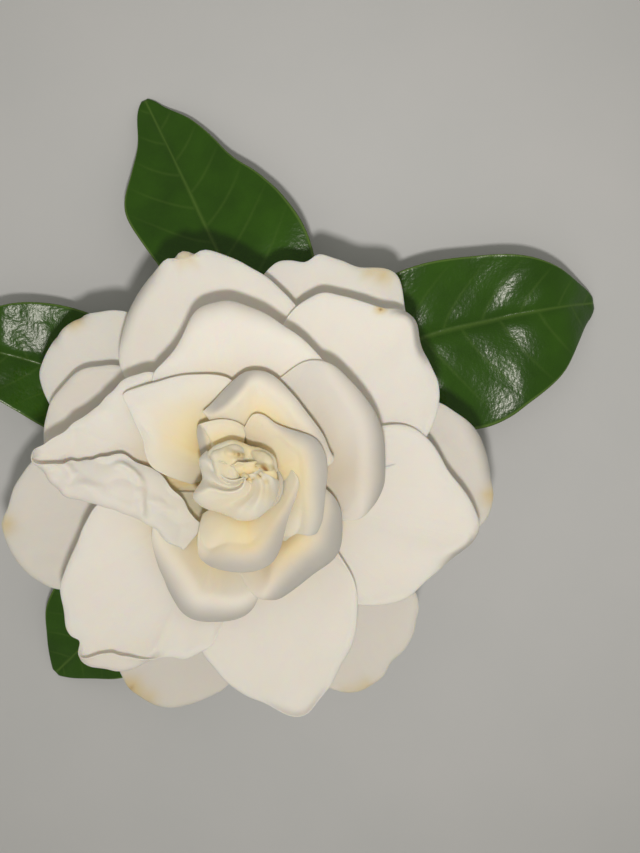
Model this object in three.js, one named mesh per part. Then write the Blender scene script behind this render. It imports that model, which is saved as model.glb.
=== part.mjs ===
// A double gardenia bloom, cut with four leaves, lying face up on a table.
//
// Millimetres, +Z up. The flower's axis is vertical. The short stem bends away under the bloom and
// lies on the table, and the leaves arch over and touch it with their tips.
//
// Every petal is one thin sheet that springs from the corolla tube. The petals nest: each has a
// "turn", 0 for the outermost whorl and about 5 for the heart, and its height above the table at
// any distance from the axis follows from its turn alone, so petals of different turns never cross.

import * as THREE from "three";
import { ParametricGeometry } from "three/addons/geometries/ParametricGeometry.js";

// ---------------------------------------------------------------- driving dimensions (mm)

const PETAL_THICKNESS = 0.7;
const HEART_THICKNESS = 0.5;
const LEAF_THICKNESS = 0.8;
const PIECE_GAP = 0.35; // room left between pieces that meet

// the nest of petals, all measured at the flower's axis
const NEST_HEIGHT = 24; // height of the outermost petals' foot above the table
const NEST_STEP = 2.2; // each turn springs this much higher
const FOOT_RADIUS = 6; // ring on which the outermost petals stand
const FOOT_TAPER = 0.9; // each turn stands this much closer to the axis
const FOOT_SHARE = 0.36; // a petal's foot takes this share of the angle its rim takes
const RISE_OUTER = 3; // how far the outermost petals climb
const RISE_PER_TURN = 5;
const RISE_GROWTH = 0.25;
const RISE_LENGTH = 9; // radial distance over which most of the climb happens
const DROOP_OUTER = 5; // fall of the outermost petals at DROOP_REACH
const DROOP_PER_TURN = 2.5;
const DROOP_REACH = 40;
const HEART_TURN = 5; // the tube ends at this turn
const MARGIN_ROLL = 2.2; // radius of a curled margin
const MARGIN_LIP = 1; // how far it goes straight on past its curl

// corolla tube
const TUBE_BOTTOM = 14;
const TUBE_FOOT_RADIUS = 2.6;
const TUBE_THROAT_HEIGHT = 18;
const TUBE_THROAT_RADIUS = 3.4;
const TUBE_COLLAR = 1; // height of the upright band below the outermost petals' foot
const TUBE_TIP = 0.5; // rise of the tube's blunt end

// calyx
const CALYX_BOTTOM = 9.3;
const CALYX_RIM = 16;
const CALYX_RADIUS = 4.1;
const CALYX_WALL = 0.8;
const CALYX_TAPER = 0.7; // how much narrower the cup is low down
const CALYX_TAPER_HEIGHT = 2.5;
const CALYX_COLLAR = 1; // depth of the band below the rim from which the lobes bend out
const CALYX_CHAMFER = 0.4; // widening of the cup's inside at its mouth
const CALYX_LOBES = 6;
const RIB_HEIGHT = 0.3;
const LOBE_HEIGHT = 5.6;
const LOBE_SPREAD = 5.5;
const LOBE_SHARPNESS = 6; // the higher this power, the narrower the lobes and ribs
const LOBE_EDGE = [-0.5, 0.4]; // [out, up] from a lobe's outer edge to its inner edge

// stem
const STEM_RADIUS = 2.3;

// leaves
const STALK_SHARE = 0.14; // the stalk's share of the leaf's length
const STALK_HALF_WIDTH = 0.9;
const FOLD_POWER = 1.5; // 1 for a straight V across the blade, more for a rounder trough

// mesh fineness: [cells across, cells along]
const PETAL_CELLS = [8, 7];
const HEART_CELLS = [12, 10];
const LEAF_CELLS = [6, 12];
const CALYX_CELLS = [48, 8];
const TUBE_SIDES = 16;
const STEM_SIDES = 10;
const STEM_STEPS = 16;

// ---------------------------------------------------------------- finishes

const petalWhite = { color: 0xf4efe6, roughness: 0.6, metalness: 0 };
const petalCream = { color: 0xf7ebcd, roughness: 0.6, metalness: 0 };
const heartCream = { color: 0xf5e3b8, roughness: 0.6, metalness: 0 };
const leafGreen = { color: 0x1f4a16, roughness: 0.25, metalness: 0 };
const calyxGreen = { color: 0x5b7d3a, roughness: 0.5, metalness: 0 };
const stemGreen = { color: 0x6c7a45, roughness: 0.7, metalness: 0 };

const degrees = THREE.MathUtils.degToRad;

// ---------------------------------------------------------------- closed thin sheets

/**
 * A closed solid from a mid-surface: the section runs across the top face and back across the
 * underside, and both faces meet in a thin edge all round.
 * surface(across, along, target) gives the mid-surface, with both parameters from 0 to 1.
 */
function sheetGeometry(surface, thickness, [acrossSteps, alongSteps]) {
  const step = 1e-3;
  const here = new THREE.Vector3();
  const besides = new THREE.Vector3();
  const ahead = new THREE.Vector3();
  const normal = new THREE.Vector3();

  function difference(across, along, dAcross, dAlong, target) {
    surface(across + dAcross, along + dAlong, target);
    const back = surface(across - dAcross, along - dAlong, new THREE.Vector3());
    return target.sub(back);
  }

  function solidPoint(u, v, target) {
    const onTop = u < 0.5;
    const across = Math.min(1, Math.max(0, onTop ? 1 - 2 * u : 2 * u - 1));
    const along = Math.min(1, Math.max(0, v));
    surface(across, along, here);
    difference(clampInside(across, step), clampInside(along, step), step, 0, besides);
    difference(clampInside(across, step), clampInside(along, step), 0, step, ahead);
    normal.crossVectors(ahead, besides).normalize();
    const toEdge = Math.min(
      acrossSteps * across,
      acrossSteps * (1 - across),
      alongSteps * along,
      alongSteps * (1 - along),
      1,
    );
    const halfThickness = (onTop ? 0.5 : -0.5) * thickness * toEdge;
    return target.copy(here).addScaledVector(normal, halfThickness);
  }

  return new ParametricGeometry(solidPoint, 2 * acrossSteps, alongSteps);
}

function clampInside(value, margin) {
  return Math.min(1 - margin, Math.max(margin, value));
}

// ---------------------------------------------------------------- the nest of petals

function footRadius(turn) {
  return FOOT_RADIUS - FOOT_TAPER * turn;
}

function footHeight(turn) {
  return NEST_HEIGHT + NEST_STEP * turn;
}

/** Height of a petal of this turn at a distance from the flower's axis. */
function nestHeight(turn, distance) {
  const out = Math.max(0, distance - footRadius(turn));
  const rise = RISE_OUTER + RISE_PER_TURN * turn + RISE_GROWTH * turn * turn;
  const droop = Math.max(0, DROOP_OUTER - DROOP_PER_TURN * turn);
  return footHeight(turn) + rise * (1 - Math.exp(-out / RISE_LENGTH)) - droop * (out / DROOP_REACH) ** 2;
}

/**
 * Mid-surface of a petal. rim lists points from the petal's clockwise side to its other side, each
 * [azimuth in degrees, reach from the axis, lift of the rim, curl of the margin in degrees].
 * A curled margin rolls up and inwards with radius roll, and its lip goes straight on for lip mm.
 */
function petalSurface({ turn, rim, roll = MARGIN_ROLL, lip = MARGIN_LIP, claw }) {
  const outline = new THREE.CatmullRomCurve3(
    rim.map(([azimuth, reach, lift = 0]) =>
      new THREE.Vector3(reach * Math.cos(degrees(azimuth)), reach * Math.sin(degrees(azimuth)), lift)),
    false, "catmullrom", 0.5);
  const margin = new THREE.CatmullRomCurve3(
    rim.map(([azimuth, , , curl = 0]) => new THREE.Vector3(azimuth, curl, 0)),
    false, "catmullrom", 0.5);
  const middle = (rim[0][0] + rim[rim.length - 1][0]) / 2;
  const clawAzimuth = claw ?? middle;

  return function surface(across, along, target) {
    const t = outline.getUtoTmapping(across);
    const edge = outline.getPoint(t);
    const tangent = outline.getTangent(t);
    const { x: azimuth, y: curlDegrees } = margin.getPoint(t);
    const curl = Math.max(0, degrees(curlDegrees));
    const outX = tangent.y;
    const outY = -tangent.x;
    const outLength = Math.hypot(outX, outY);
    const out = new THREE.Vector2(outX / outLength, outY / outLength);

    const footAngle = degrees(clawAzimuth + FOOT_SHARE * (azimuth - middle));
    const foot = new THREE.Vector2(Math.cos(footAngle), Math.sin(footAngle)).multiplyScalar(footRadius(turn));
    const inset = roll * Math.sin(Math.min(curl, Math.PI / 2));
    const bend = new THREE.Vector2(edge.x - out.x * inset, edge.y - out.y * inset);
    const flatLength = bend.distanceTo(foot);
    const lipLength = lip * Math.min(1, curl);
    const distance = along * (flatLength + roll * curl + lipLength);

    const share = Math.min(1, distance / flatLength);
    const plan = foot.clone().lerp(bend, share);
    const lift = edge.z * share ** 3;
    target.set(plan.x, plan.y, nestHeight(turn, plan.length()) + lift);
    if (distance <= flatLength) {
      return target;
    }
    const angle = Math.min(curl, (distance - flatLength) / roll);
    const beyond = Math.max(0, distance - flatLength - roll * curl);
    const forward = roll * Math.sin(angle) + beyond * Math.cos(curl);
    const upward = roll * (1 - Math.cos(angle)) + beyond * Math.sin(curl);
    target.x += out.x * forward;
    target.y += out.y * forward;
    target.z += upward;
    return target;
  };
}

// ---------------------------------------------------------------- the petals, whorl by whorl
// Rims go anticlockwise: [azimuth degrees, reach mm, lift mm, curl degrees].

const guardPetals = [
  {
    name: "guard_petal_1", turn: 0.25,
    rim: [[163, 29], [170, 37], [181, 42.5], [191, 46.5], [202, 45], [211, 40], [218, 32]],
  },
  {
    name: "guard_petal_2", turn: 0,
    rim: [[118, 30], [125, 38.5], [135, 43], [144, 44.5], [154, 43], [163, 36], [168, 29]],
  },
  {
    name: "guard_petal_3", turn: 0.1,
    rim: [[35, 30], [41, 40], [51, 47], [60, 47], [72, 44], [83, 40], [93, 30]],
  },
  {
    name: "guard_petal_4", turn: 0.2,
    rim: [[-24, 30], [-17, 40], [-5, 46.5], [6, 45.5], [18, 42], [25, 37], [31, 28]],
  },
  {
    name: "guard_petal_5", turn: 0,
    rim: [[281, 29], [287, 38], [294, 44], [301, 46], [312, 44], [324, 40], [334, 29]],
  },
  {
    name: "guard_petal_6", turn: 0,
    rim: [[226, 31], [233, 41], [244, 45.5], [251, 45.5], [260, 42], [269, 36], [276, 28]],
  },
];

const outerPetals = [
  {
    name: "outer_petal_1", turn: 0.7,
    rim: [[58, 22], [67, 31], [80, 36.5], [94, 41], [105, 44], [113, 42.5], [124, 38], [137, 31], [145, 21]],
  },
  {
    name: "outer_petal_2", turn: 0.9,
    rim: [[2, 23], [11, 33], [24, 39.5], [38, 40], [49, 41.5], [62, 38.5], [73, 34], [81, 22]],
  },
  {
    name: "outer_petal_3", turn: 1.1,
    rim: [[303, 22], [313, 31], [326, 37], [339, 40], [350, 43.5], [362, 40], [374, 35], [383, 22]],
  },
  {
    name: "outer_petal_4", turn: 1.35,
    rim: [[245, 20], [256, 31], [269, 37.5], [278, 41.5], [285, 44.5], [293, 42.5], [308, 33.5], [324, 22]],
  },
  {
    name: "outer_petal_5", turn: 1.6,
    rim: [[186, 21], [196, 30.5], [208, 36.5], [219, 41], [230, 43],
      [238, 41.5], [246, 35.5], [258, 30], [267, 21]],
  },
  {
    name: "outer_petal_6", turn: 0.5,
    rim: [[126, 21], [135, 32], [146, 36.5], [158, 38.5], [170, 38], [182, 32], [191, 22]],
  },
];

const middlePetals = [
  {
    name: "middle_petal_1", turn: 1.95, roll: 2.4, lip: 3,
    rim: [[122, 22], [135, 26.5], [150, 29.5], [163, 34], [172, 37.5, 0, 20], [180, 32, 0, 150],
      [189, 25, 0, 170], [204, 18.5, 0, 150], [220, 17, 0, 50], [230, 15.5]],
  },
  {
    name: "middle_petal_2", turn: 2.15,
    rim: [[42, 19], [54, 25.5], [70, 27.5], [84, 31], [96, 32], [108, 30], [122, 25], [134, 20]],
  },
  {
    name: "middle_petal_3", turn: 2.3,
    rim: [[-28, 14], [-16, 23.5], [-2, 26.5], [25, 27], [45, 26], [60, 24.5], [72, 18]],
  },
  {
    name: "middle_petal_4", turn: 2.15,
    rim: [[188, 13], [206, 17.5], [225, 21], [245, 25.5], [257, 26], [273, 23], [287, 17]],
  },
  {
    name: "middle_petal_5", turn: 2.6,
    rim: [[268, 15], [281, 21], [303, 22], [322, 22], [338, 20.5], [355, 16.5], [366, 12]],
  },
];

const innerPetals = [
  {
    name: "inner_petal_1", turn: 2.6,
    rim: [[84, 13], [96, 19], [119, 22], [141, 25.5], [149, 20], [165, 16.5], [180, 12], [195, 8.5]],
  },
  {
    name: "inner_petal_2", turn: 2.85, claw: 74,
    rim: [[10, 13], [24, 17], [46, 17], [70, 20.5], [84, 20.5], [100, 16], [114, 12]],
  },
  {
    name: "inner_petal_3", turn: 3.15, claw: 8,
    rim: [[-18, 13], [-6, 17], [12, 17], [30, 16], [48, 13], [68, 12.5], [80, 9]],
  },
  {
    name: "inner_petal_4", turn: 3.4, claw: 300,
    rim: [[224, 10.5], [244, 14.5], [270, 15.5], [298, 14.5], [324, 11], [350, 9.5], [372, 9.5]],
  },
];

const heartPetals = [
  {
    name: "heart_petal_hood", turn: 4.6, roll: 2.4,
    rim: [[172, 6.4, 0, 20], [192, 7.6, 0, 80], [215, 7.7, 0, 110], [245, 7.1, 0, 110], [275, 6.8, 0, 110],
      [303, 6.1, 0, 80], [325, 4.9, 0, 20]],
  },
  {
    name: "heart_petal_blade", turn: 4.3,
    rim: [[-40, 6.9], [-28, 7.6], [-12, 7.6], [4, 7.2], [16, 6.2]],
  },
  {
    name: "heart_petal_strip", turn: 4, claw: 140,
    rim: [[122, 11.5], [132, 12], [146, 10], [160, 8.9], [171, 8.6]],
  },
];

// small crumpled petals, one behind the other, that stand in the heart
const petaloids = [
  {
    turn: 4.45,
    rim: [[36, 5.2, 1], [58, 6.8, 1.5], [82, 6.2, 1.5], [104, 7, 2], [126, 6, 1.5], [144, 5.6, 1]],
  },
  {
    turn: 4.85, claw: 78,
    rim: [[34, 3.6, 3], [52, 5.2, 4], [74, 4.4, 3], [96, 5, 4], [120, 3.8, 3]],
  },
  {
    turn: 4.8, claw: 20,
    rim: [[-24, 3.6, 3], [-8, 4.6, 4], [8, 4, 3], [24, 4.6, 4]],
  },
  {
    turn: 4.8, claw: 150,
    rim: [[128, 3.4, 3], [146, 4.2, 4], [164, 3.4, 3]],
  },
].map((petaloid, index) => ({ name: `petaloid_${index + 1}`, ...petaloid }));

function petalMesh(petal, finish) {
  return namedMesh(petal.name, sheetGeometry(petalSurface(petal), PETAL_THICKNESS, PETAL_CELLS), finish);
}

function heartMesh(petal) {
  return namedMesh(petal.name, sheetGeometry(petalSurface(petal), HEART_THICKNESS, HEART_CELLS), heartCream);
}

// ---------------------------------------------------------------- tube, calyx and stem

/** Turns a lathe profile of [radius, height] about the vertical axis. */
function latheGeometry(profile, segments) {
  const points = profile.map(([radius, height]) => new THREE.Vector2(radius, height));
  return new THREE.LatheGeometry(points, segments).rotateX(Math.PI / 2);
}

function tubeGeometry() {
  const clearance = PIECE_GAP + PETAL_THICKNESS / 4;
  return latheGeometry([
    [0, TUBE_BOTTOM],
    [TUBE_FOOT_RADIUS, TUBE_BOTTOM],
    [TUBE_THROAT_RADIUS, TUBE_THROAT_HEIGHT],
    [footRadius(0) - clearance, NEST_HEIGHT - TUBE_COLLAR],
    [footRadius(0) - clearance, NEST_HEIGHT],
    [footRadius(HEART_TURN) - clearance, footHeight(HEART_TURN)],
    [0, footHeight(HEART_TURN) + TUBE_TIP],
  ], TUBE_SIDES);
}

/** A ribbed cup round the tube's foot whose rim runs up into narrow lobes that spread outwards. */
function calyxGeometry() {
  const innerFloor = TUBE_BOTTOM - PIECE_GAP;
  const tubeRadius = THREE.MathUtils.mapLinear(
    CALYX_RIM, TUBE_BOTTOM, TUBE_THROAT_HEIGHT, TUBE_FOOT_RADIUS, TUBE_THROAT_RADIUS);
  const innerRadius = tubeRadius + PIECE_GAP;

  function point(u, v, target) {
    const azimuth = 2 * Math.PI * u;
    const lobe = Math.abs(Math.cos((CALYX_LOBES / 2) * azimuth)) ** LOBE_SHARPNESS;
    const rib = RIB_HEIGHT * lobe;
    const rim = CALYX_RIM + LOBE_HEIGHT * lobe;
    const rimRadius = CALYX_RADIUS + CALYX_WALL / 2 + LOBE_SPREAD * lobe;
    const outline = [
      [0, CALYX_BOTTOM],
      [STEM_RADIUS, CALYX_BOTTOM],
      [CALYX_RADIUS - CALYX_TAPER + rib, CALYX_BOTTOM + CALYX_TAPER_HEIGHT],
      [CALYX_RADIUS + rib, CALYX_RIM - CALYX_COLLAR],
      [rimRadius, rim],
      [rimRadius + LOBE_EDGE[0], rim + LOBE_EDGE[1]],
      [innerRadius + CALYX_CHAMFER, CALYX_RIM - CALYX_WALL],
      [innerRadius, innerFloor],
      [0, innerFloor],
    ];
    const position = v * (outline.length - 1);
    const index = Math.min(outline.length - 2, Math.floor(position + 1e-9));
    const share = position - index;
    const radius = THREE.MathUtils.lerp(outline[index][0], outline[index + 1][0], share);
    const height = THREE.MathUtils.lerp(outline[index][1], outline[index + 1][1], share);
    return target.set(radius * Math.cos(azimuth), radius * Math.sin(azimuth), height);
  }

  return new ParametricGeometry(point, ...CALYX_CELLS);
}

const stemPath = new THREE.CatmullRomCurve3([
  new THREE.Vector3(0, 0, CALYX_BOTTOM - PIECE_GAP),
  new THREE.Vector3(0, 0, 8.2),
  new THREE.Vector3(1.6, -2.7, 4.6),
  new THREE.Vector3(5, -8.6, 2.9),
  new THREE.Vector3(11, -19, STEM_RADIUS),
  new THREE.Vector3(19, -33, STEM_RADIUS),
], false, "centripetal");

function stemGeometry() {
  const section = new THREE.Shape();
  section.absarc(0, 0, STEM_RADIUS, 0, 2 * Math.PI, false);
  return new THREE.ExtrudeGeometry(section, {
    extrudePath: stemPath,
    steps: STEM_STEPS,
    curveSegments: STEM_SIDES / 2,
    bevelEnabled: false,
  });
}

// ---------------------------------------------------------------- leaves

const TIP_HEIGHT = LEAF_THICKNESS / 2;

/**
 * A leaf with its stalk. node is where on the stem it grows, as a share of the stem's length, and
 * midrib lists [x, y, z] from there to the tip. left and right give the blade's halves on either
 * side of the midrib: [greatest width, where that is along the blade]. fold is how far the halves
 * lift above the midrib where they are widest.
 */
const leaves = [
  {
    name: "leaf_upper_left", node: 0.06, left: [13.5, 0.66], right: [18.5, 0.48], fold: 2,
    midrib: [[-2, 12, 7.5], [-4.5, 32, 11.5], [-11, 53, 8.5], [-21.6, 76.5, TIP_HEIGHT]],
  },
  {
    name: "leaf_right", node: 0.08, left: [13, 0.54], right: [20.5, 0.56], fold: 2,
    midrib: [[11, 11, 7.5], [31, 26, 11], [50, 31.5, 8], [70, 35, TIP_HEIGHT]],
  },
  {
    name: "leaf_left", node: 0.12, left: [14, 0.5], right: [13, 0.5], fold: 2,
    midrib: [[-10, 6, 7.5], [-24, 12.5, 10], [-42, 20.5, 7], [-60, 26, TIP_HEIGHT]],
  },
  {
    name: "leaf_lower_left", node: 0.1, left: [12, 0.5], right: [13, 0.6], fold: 1.5,
    midrib: [[-9, -10.5, 7], [-19, -20.5, 8.5], [-30, -31, 5.5], [-39.5, -40, TIP_HEIGHT]],
  },
];

/** Width of half a blade along the leaf, 0 at its foot and tip and widest at the share peak. */
function bladeWidth(along, [width, peak]) {
  const onBlade = Math.max(0, (along - STALK_SHARE) / (1 - STALK_SHARE));
  const power = Math.log(0.5) / Math.log(peak);
  return width * Math.sin(Math.PI * onBlade ** power);
}

/** The point beside the stem, at this share of its length, from which a leaf grows towards aim. */
function leafFoot(share, aim) {
  const foot = stemPath.getPointAt(share);
  const alongStem = stemPath.getTangentAt(share);
  const outward = aim.clone().sub(foot);
  outward.addScaledVector(alongStem, -outward.dot(alongStem)).setLength(STEM_RADIUS + PIECE_GAP);
  return foot.add(outward);
}

function leafSurface({ node, midrib, left, right, fold }) {
  const points = midrib.map((point) => new THREE.Vector3(...point));
  points.unshift(leafFoot(node, points[0]));
  const line = new THREE.CatmullRomCurve3(points, false, "centripetal");

  return function surface(across, along, target) {
    line.getPointAt(along, target);
    const tangent = line.getTangentAt(along);
    const sideLength = Math.hypot(tangent.x, tangent.y);
    const sideX = -tangent.y / sideLength;
    const sideY = tangent.x / sideLength;
    const side = 2 * across - 1;
    const half = side > 0 ? left : right;
    const width = bladeWidth(along, half);
    const reach = side * (STALK_HALF_WIDTH * (1 - along) + width);
    target.x += sideX * reach;
    target.y += sideY * reach;
    target.z += fold * (width / half[0]) * Math.abs(side) ** FOLD_POWER;
    return target;
  };
}

// ---------------------------------------------------------------- assembly

function namedMesh(name, geometry, finish) {
  const mesh = new THREE.Mesh(geometry, new THREE.MeshStandardMaterial(finish));
  mesh.name = name;
  return mesh;
}

const flower = new THREE.Group();
guardPetals.forEach((petal) => flower.add(petalMesh(petal, petalWhite)));
outerPetals.forEach((petal) => flower.add(petalMesh(petal, petalWhite)));
middlePetals.forEach((petal) => flower.add(petalMesh(petal, petalWhite)));
innerPetals.forEach((petal) => flower.add(petalMesh(petal, petalCream)));
heartPetals.forEach((petal) => flower.add(heartMesh(petal)));
petaloids.forEach((petal) => flower.add(heartMesh(petal)));
flower.add(namedMesh("corolla_tube", tubeGeometry(), petalCream));
flower.add(namedMesh("calyx", calyxGeometry(), calyxGreen));
flower.add(namedMesh("stem", stemGeometry(), stemGreen));
leaves.forEach((leaf) => {
  const geometry = sheetGeometry(leafSurface(leaf), LEAF_THICKNESS, LEAF_CELLS);
  flower.add(namedMesh(leaf.name, geometry, leafGreen));
});

// the origin is the middle of the flower's footprint, on the table
const extent = new THREE.Box3().setFromObject(flower, true);
flower.position.set(
  -(extent.min.x + extent.max.x) / 2,
  -(extent.min.y + extent.max.y) / 2,
  -extent.min.z,
);

const gardenia = new THREE.Group();
gardenia.add(flower);

export default gardenia;
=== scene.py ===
"""A double gardenia bloom, cut with four of its leaves and lying face up on a pale floor.

Lengths in the tables are millimetres from the flower's axis, which is vertical, and from the floor.
Petals nest: each has a turn, 0 for the outermost whorl and about 5 for the heart, and its height at
any distance from the axis follows from its turn, so petals of different turns never cross.
"""

import math
from dataclasses import dataclass

import bmesh
import bpy
import numpy as np
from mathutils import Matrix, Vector, noise


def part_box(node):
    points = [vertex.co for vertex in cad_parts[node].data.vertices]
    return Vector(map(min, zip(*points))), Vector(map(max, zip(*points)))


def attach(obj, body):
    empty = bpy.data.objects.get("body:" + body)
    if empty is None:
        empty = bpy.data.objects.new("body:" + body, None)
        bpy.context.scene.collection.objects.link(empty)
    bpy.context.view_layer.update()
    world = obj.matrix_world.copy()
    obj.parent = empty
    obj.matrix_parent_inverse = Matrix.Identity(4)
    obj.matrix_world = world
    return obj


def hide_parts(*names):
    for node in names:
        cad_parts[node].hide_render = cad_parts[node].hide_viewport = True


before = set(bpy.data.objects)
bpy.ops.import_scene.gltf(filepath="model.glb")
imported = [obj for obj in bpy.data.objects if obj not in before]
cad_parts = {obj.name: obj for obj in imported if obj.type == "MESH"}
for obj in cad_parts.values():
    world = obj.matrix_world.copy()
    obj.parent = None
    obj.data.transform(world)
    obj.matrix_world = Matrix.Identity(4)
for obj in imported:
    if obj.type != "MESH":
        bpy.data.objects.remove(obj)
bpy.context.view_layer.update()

bl_info = {
    "name": "Gardenia Bloom",
    "version": (1, 0, 0),
    "blender": (4, 5, 0),
    "location": "View3D > Sidebar > Gardenia",
    "description": "Models a cut double gardenia with its leaves, and a plain stage to see it on",
    "category": "Add Mesh",
}

MM = 0.001
BODY = "root"
AXIS = sum(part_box("corolla_tube"), Vector()) / 2
AXIS.z = 0

# ---------------------------------------------------------------- the nest of petals, in mm

NEST_HEIGHT = 24  # the outermost petals' foot above the floor
NEST_STEP = 2.2  # each turn springs this much higher
FOOT_RADIUS = 6  # ring on which the outermost petals stand
FOOT_TAPER = 0.9
FOOT_SHARE = 0.36  # a petal's foot takes this share of the angle its rim takes
FOOT_DEPTH = 0.5  # the feet run this far into the tube they grow from
RISE_OUTER = 3
RISE_PER_TURN = 5
RISE_GROWTH = 0.25
RISE_LENGTH = 9  # radial distance over which most of the climb happens
DROOP_OUTER = 5
DROOP_PER_TURN = 2.5
DROOP_REACH = 40


def foot_radius(turn):
    return FOOT_RADIUS - FOOT_TAPER * turn


def nest_height(turn, distance):
    """Height of a petal of this turn at a distance from the flower's axis."""
    out = np.maximum(0, distance - foot_radius(turn))
    rise = RISE_OUTER + RISE_PER_TURN * turn + RISE_GROWTH * turn**2
    droop = max(0, DROOP_OUTER - DROOP_PER_TURN * turn)
    climbed = rise * (1 - np.exp(-out / RISE_LENGTH))
    return NEST_HEIGHT + NEST_STEP * turn + climbed - droop * (out / DROOP_REACH) ** 2


def nest_slope(turn, distance):
    step = 0.05
    return (nest_height(turn, distance + step) - nest_height(turn, distance - step)) / (2 * step)


# ---------------------------------------------------------------- curves and noise

SPAN_STEPS = 24
SEED_STEP = 7.3  # how far apart in the noise two seeds are
SOFTENING_TAIL = 2.5  # an average takes in this many times its reach on both sides


def lengths(vectors):
    return np.linalg.norm(vectors, axis=-1)


def units(vectors):
    return vectors / lengths(vectors)[..., None]


def leftward(vectors):
    """Vectors in plan, turned a quarter anticlockwise."""
    return np.stack([-vectors[..., 1], vectors[..., 0]], axis=-1)


def spline(rows, centripetal=False):
    """Points of the Catmull-Rom curve through rows of numbers, SPAN_STEPS to a span."""
    rows = np.array(rows, float)
    rows = np.vstack([2 * rows[0] - rows[1], rows, 2 * rows[-1] - rows[-2]])
    curve = []
    for a, b, c, d in zip(rows, rows[1:], rows[2:], rows[3:]):
        before = span = after = 1.0
        if centripetal:
            before, span, after = (math.sqrt(np.linalg.norm(q - p)) for p, q in ((a, b), (b, c), (c, d)))
        start = span * ((b - a) / before - (c - a) / (before + span)) + (c - b)
        end = (c - b) - span * ((d - b) / (span + after) - (d - c) / after)
        for t in np.arange(SPAN_STEPS) / SPAN_STEPS:
            curve.append(
                (2 * t**3 - 3 * t**2 + 1) * b
                + (t**3 - 2 * t**2 + t) * start
                + (3 * t**2 - 2 * t**3) * c
                + (t**3 - t**2) * end
            )
    curve.append(rows[-2])
    return np.array(curve)


def even_steps(curve, dimensions, shares):
    """The curve's rows at these shares of its length, and the unit tangents there. The first
    dimensions columns are its place, and the others ride along."""
    place = curve[:, :dimensions]
    length = np.concatenate([[0], np.cumsum(lengths(np.diff(place, axis=0)))])
    apart = length + 1e-9 * np.arange(len(length))  # so that a step of no length does no harm
    slope = [np.gradient(column, apart) for column in place.T]
    rows, tangent = (
        np.stack([np.interp(shares * length[-1], length, column) for column in table], axis=1)
        for table in (curve.T, slope)
    )
    return rows, units(tangent), length[-1]


def uneven(place, wavelength, seed):
    """Smooth noise between -1 and 1 at each [x, y] of an array."""
    flat = [
        noise.noise((x / wavelength, y / wavelength, SEED_STEP * seed)) for x, y in place.reshape(-1, 2)]
    return np.reshape(flat, place.shape[:-1])


def softened(rows, spacing, reach):
    """Rows taken at even spacing, each averaged with its neighbours within about this reach."""
    count = max(1, math.ceil(SOFTENING_TAIL * reach / spacing))
    weights = np.exp(-((np.arange(-count, count + 1) * spacing / reach) ** 2))
    padded = np.pad(rows, ((count, count), (0, 0)), "edge")
    return np.stack([np.convolve(column, weights / weights.sum(), "valid") for column in padded.T], axis=1)


def smooth_step(low, high, value):
    share = np.clip((value - low) / (high - low), 0, 1)
    return share * share * (3 - 2 * share)


def polar(azimuth, reach):
    angle = np.radians(azimuth)
    return np.stack([reach * np.cos(angle), reach * np.sin(angle)], axis=-1)


# ---------------------------------------------------------------- meshes


def grid_mesh(points, attributes, closed_round=False):
    """A bmesh grid whose vertices sit at points, an array of rows of columns of [x, y, z] in mm from
    the flower's axis. attributes gives each vertex named numbers. Its face looks to the side from
    which the columns go anticlockwise round to the rows."""
    rows, columns = points.shape[:2]
    bm = bmesh.new()
    bm.loops.layers.uv.new("UVMap")
    bmesh.ops.create_grid(bm, x_segments=columns - 1, y_segments=rows - 1, size=1, calc_uvs=True)
    layers = [
        (bm.verts.layers.float.new(name), np.broadcast_to(values, (rows, columns)))
        for name, values in attributes.items()
    ]
    for vertex in bm.verts:
        column = round((vertex.co.x + 1) / 2 * (columns - 1))
        row = round((vertex.co.y + 1) / 2 * (rows - 1))
        vertex.co = Vector(points[row, column]) * MM + AXIS
        for layer, values in layers:
            vertex[layer] = values[row, column]
    if closed_round:
        bmesh.ops.remove_doubles(bm, verts=bm.verts, dist=1e-6)
        bmesh.ops.recalc_face_normals(bm, faces=bm.faces)
    bm.normal_update()
    return bm


def add_object(name, data):
    added = bpy.data.objects.new(name, data)
    bpy.context.scene.collection.objects.link(added)
    return added


def new_mesh(name, bm, material):
    """A mesh of this material from a bmesh, which is used up."""
    mesh = bpy.data.meshes.new(name)
    bm.to_mesh(mesh)
    bm.free()
    mesh.materials.append(material)
    return mesh


def add_piece(node, bm, material, thickness=0):
    """Makes the object for a bmesh, gives it its wall and smoothness, and puts it in a node's place."""
    mesh = new_mesh(node, bm, material)
    mesh.shade_smooth()
    piece = add_object(f"{node}_look", mesh)
    if thickness:
        group = piece.vertex_groups.new(name="wall")
        wall = mesh.attributes["wall"].data
        for index, value in enumerate(wall):
            group.add([index], value.value, "REPLACE")
        solidify = piece.modifiers.new("Wall", "SOLIDIFY")
        solidify.thickness = thickness
        solidify.offset = 0
        solidify.vertex_group = group.name
    smooth = piece.modifiers.new("Smooth", "SUBSURF")
    smooth.levels = 1
    smooth.render_levels = 1
    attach(piece, BODY)
    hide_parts(node)
    return piece


# ---------------------------------------------------------------- materials


def linear(srgb, alpha=True):
    """An sRGB hex colour as linear numbers."""
    values = [int(srgb[i : i + 2], 16) / 255 for i in (1, 3, 5)]
    values = [v / 12.92 if v <= 0.04045 else ((v + 0.055) / 1.055) ** 2.4 for v in values]
    return (*values, 1.0) if alpha else tuple(values)


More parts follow.
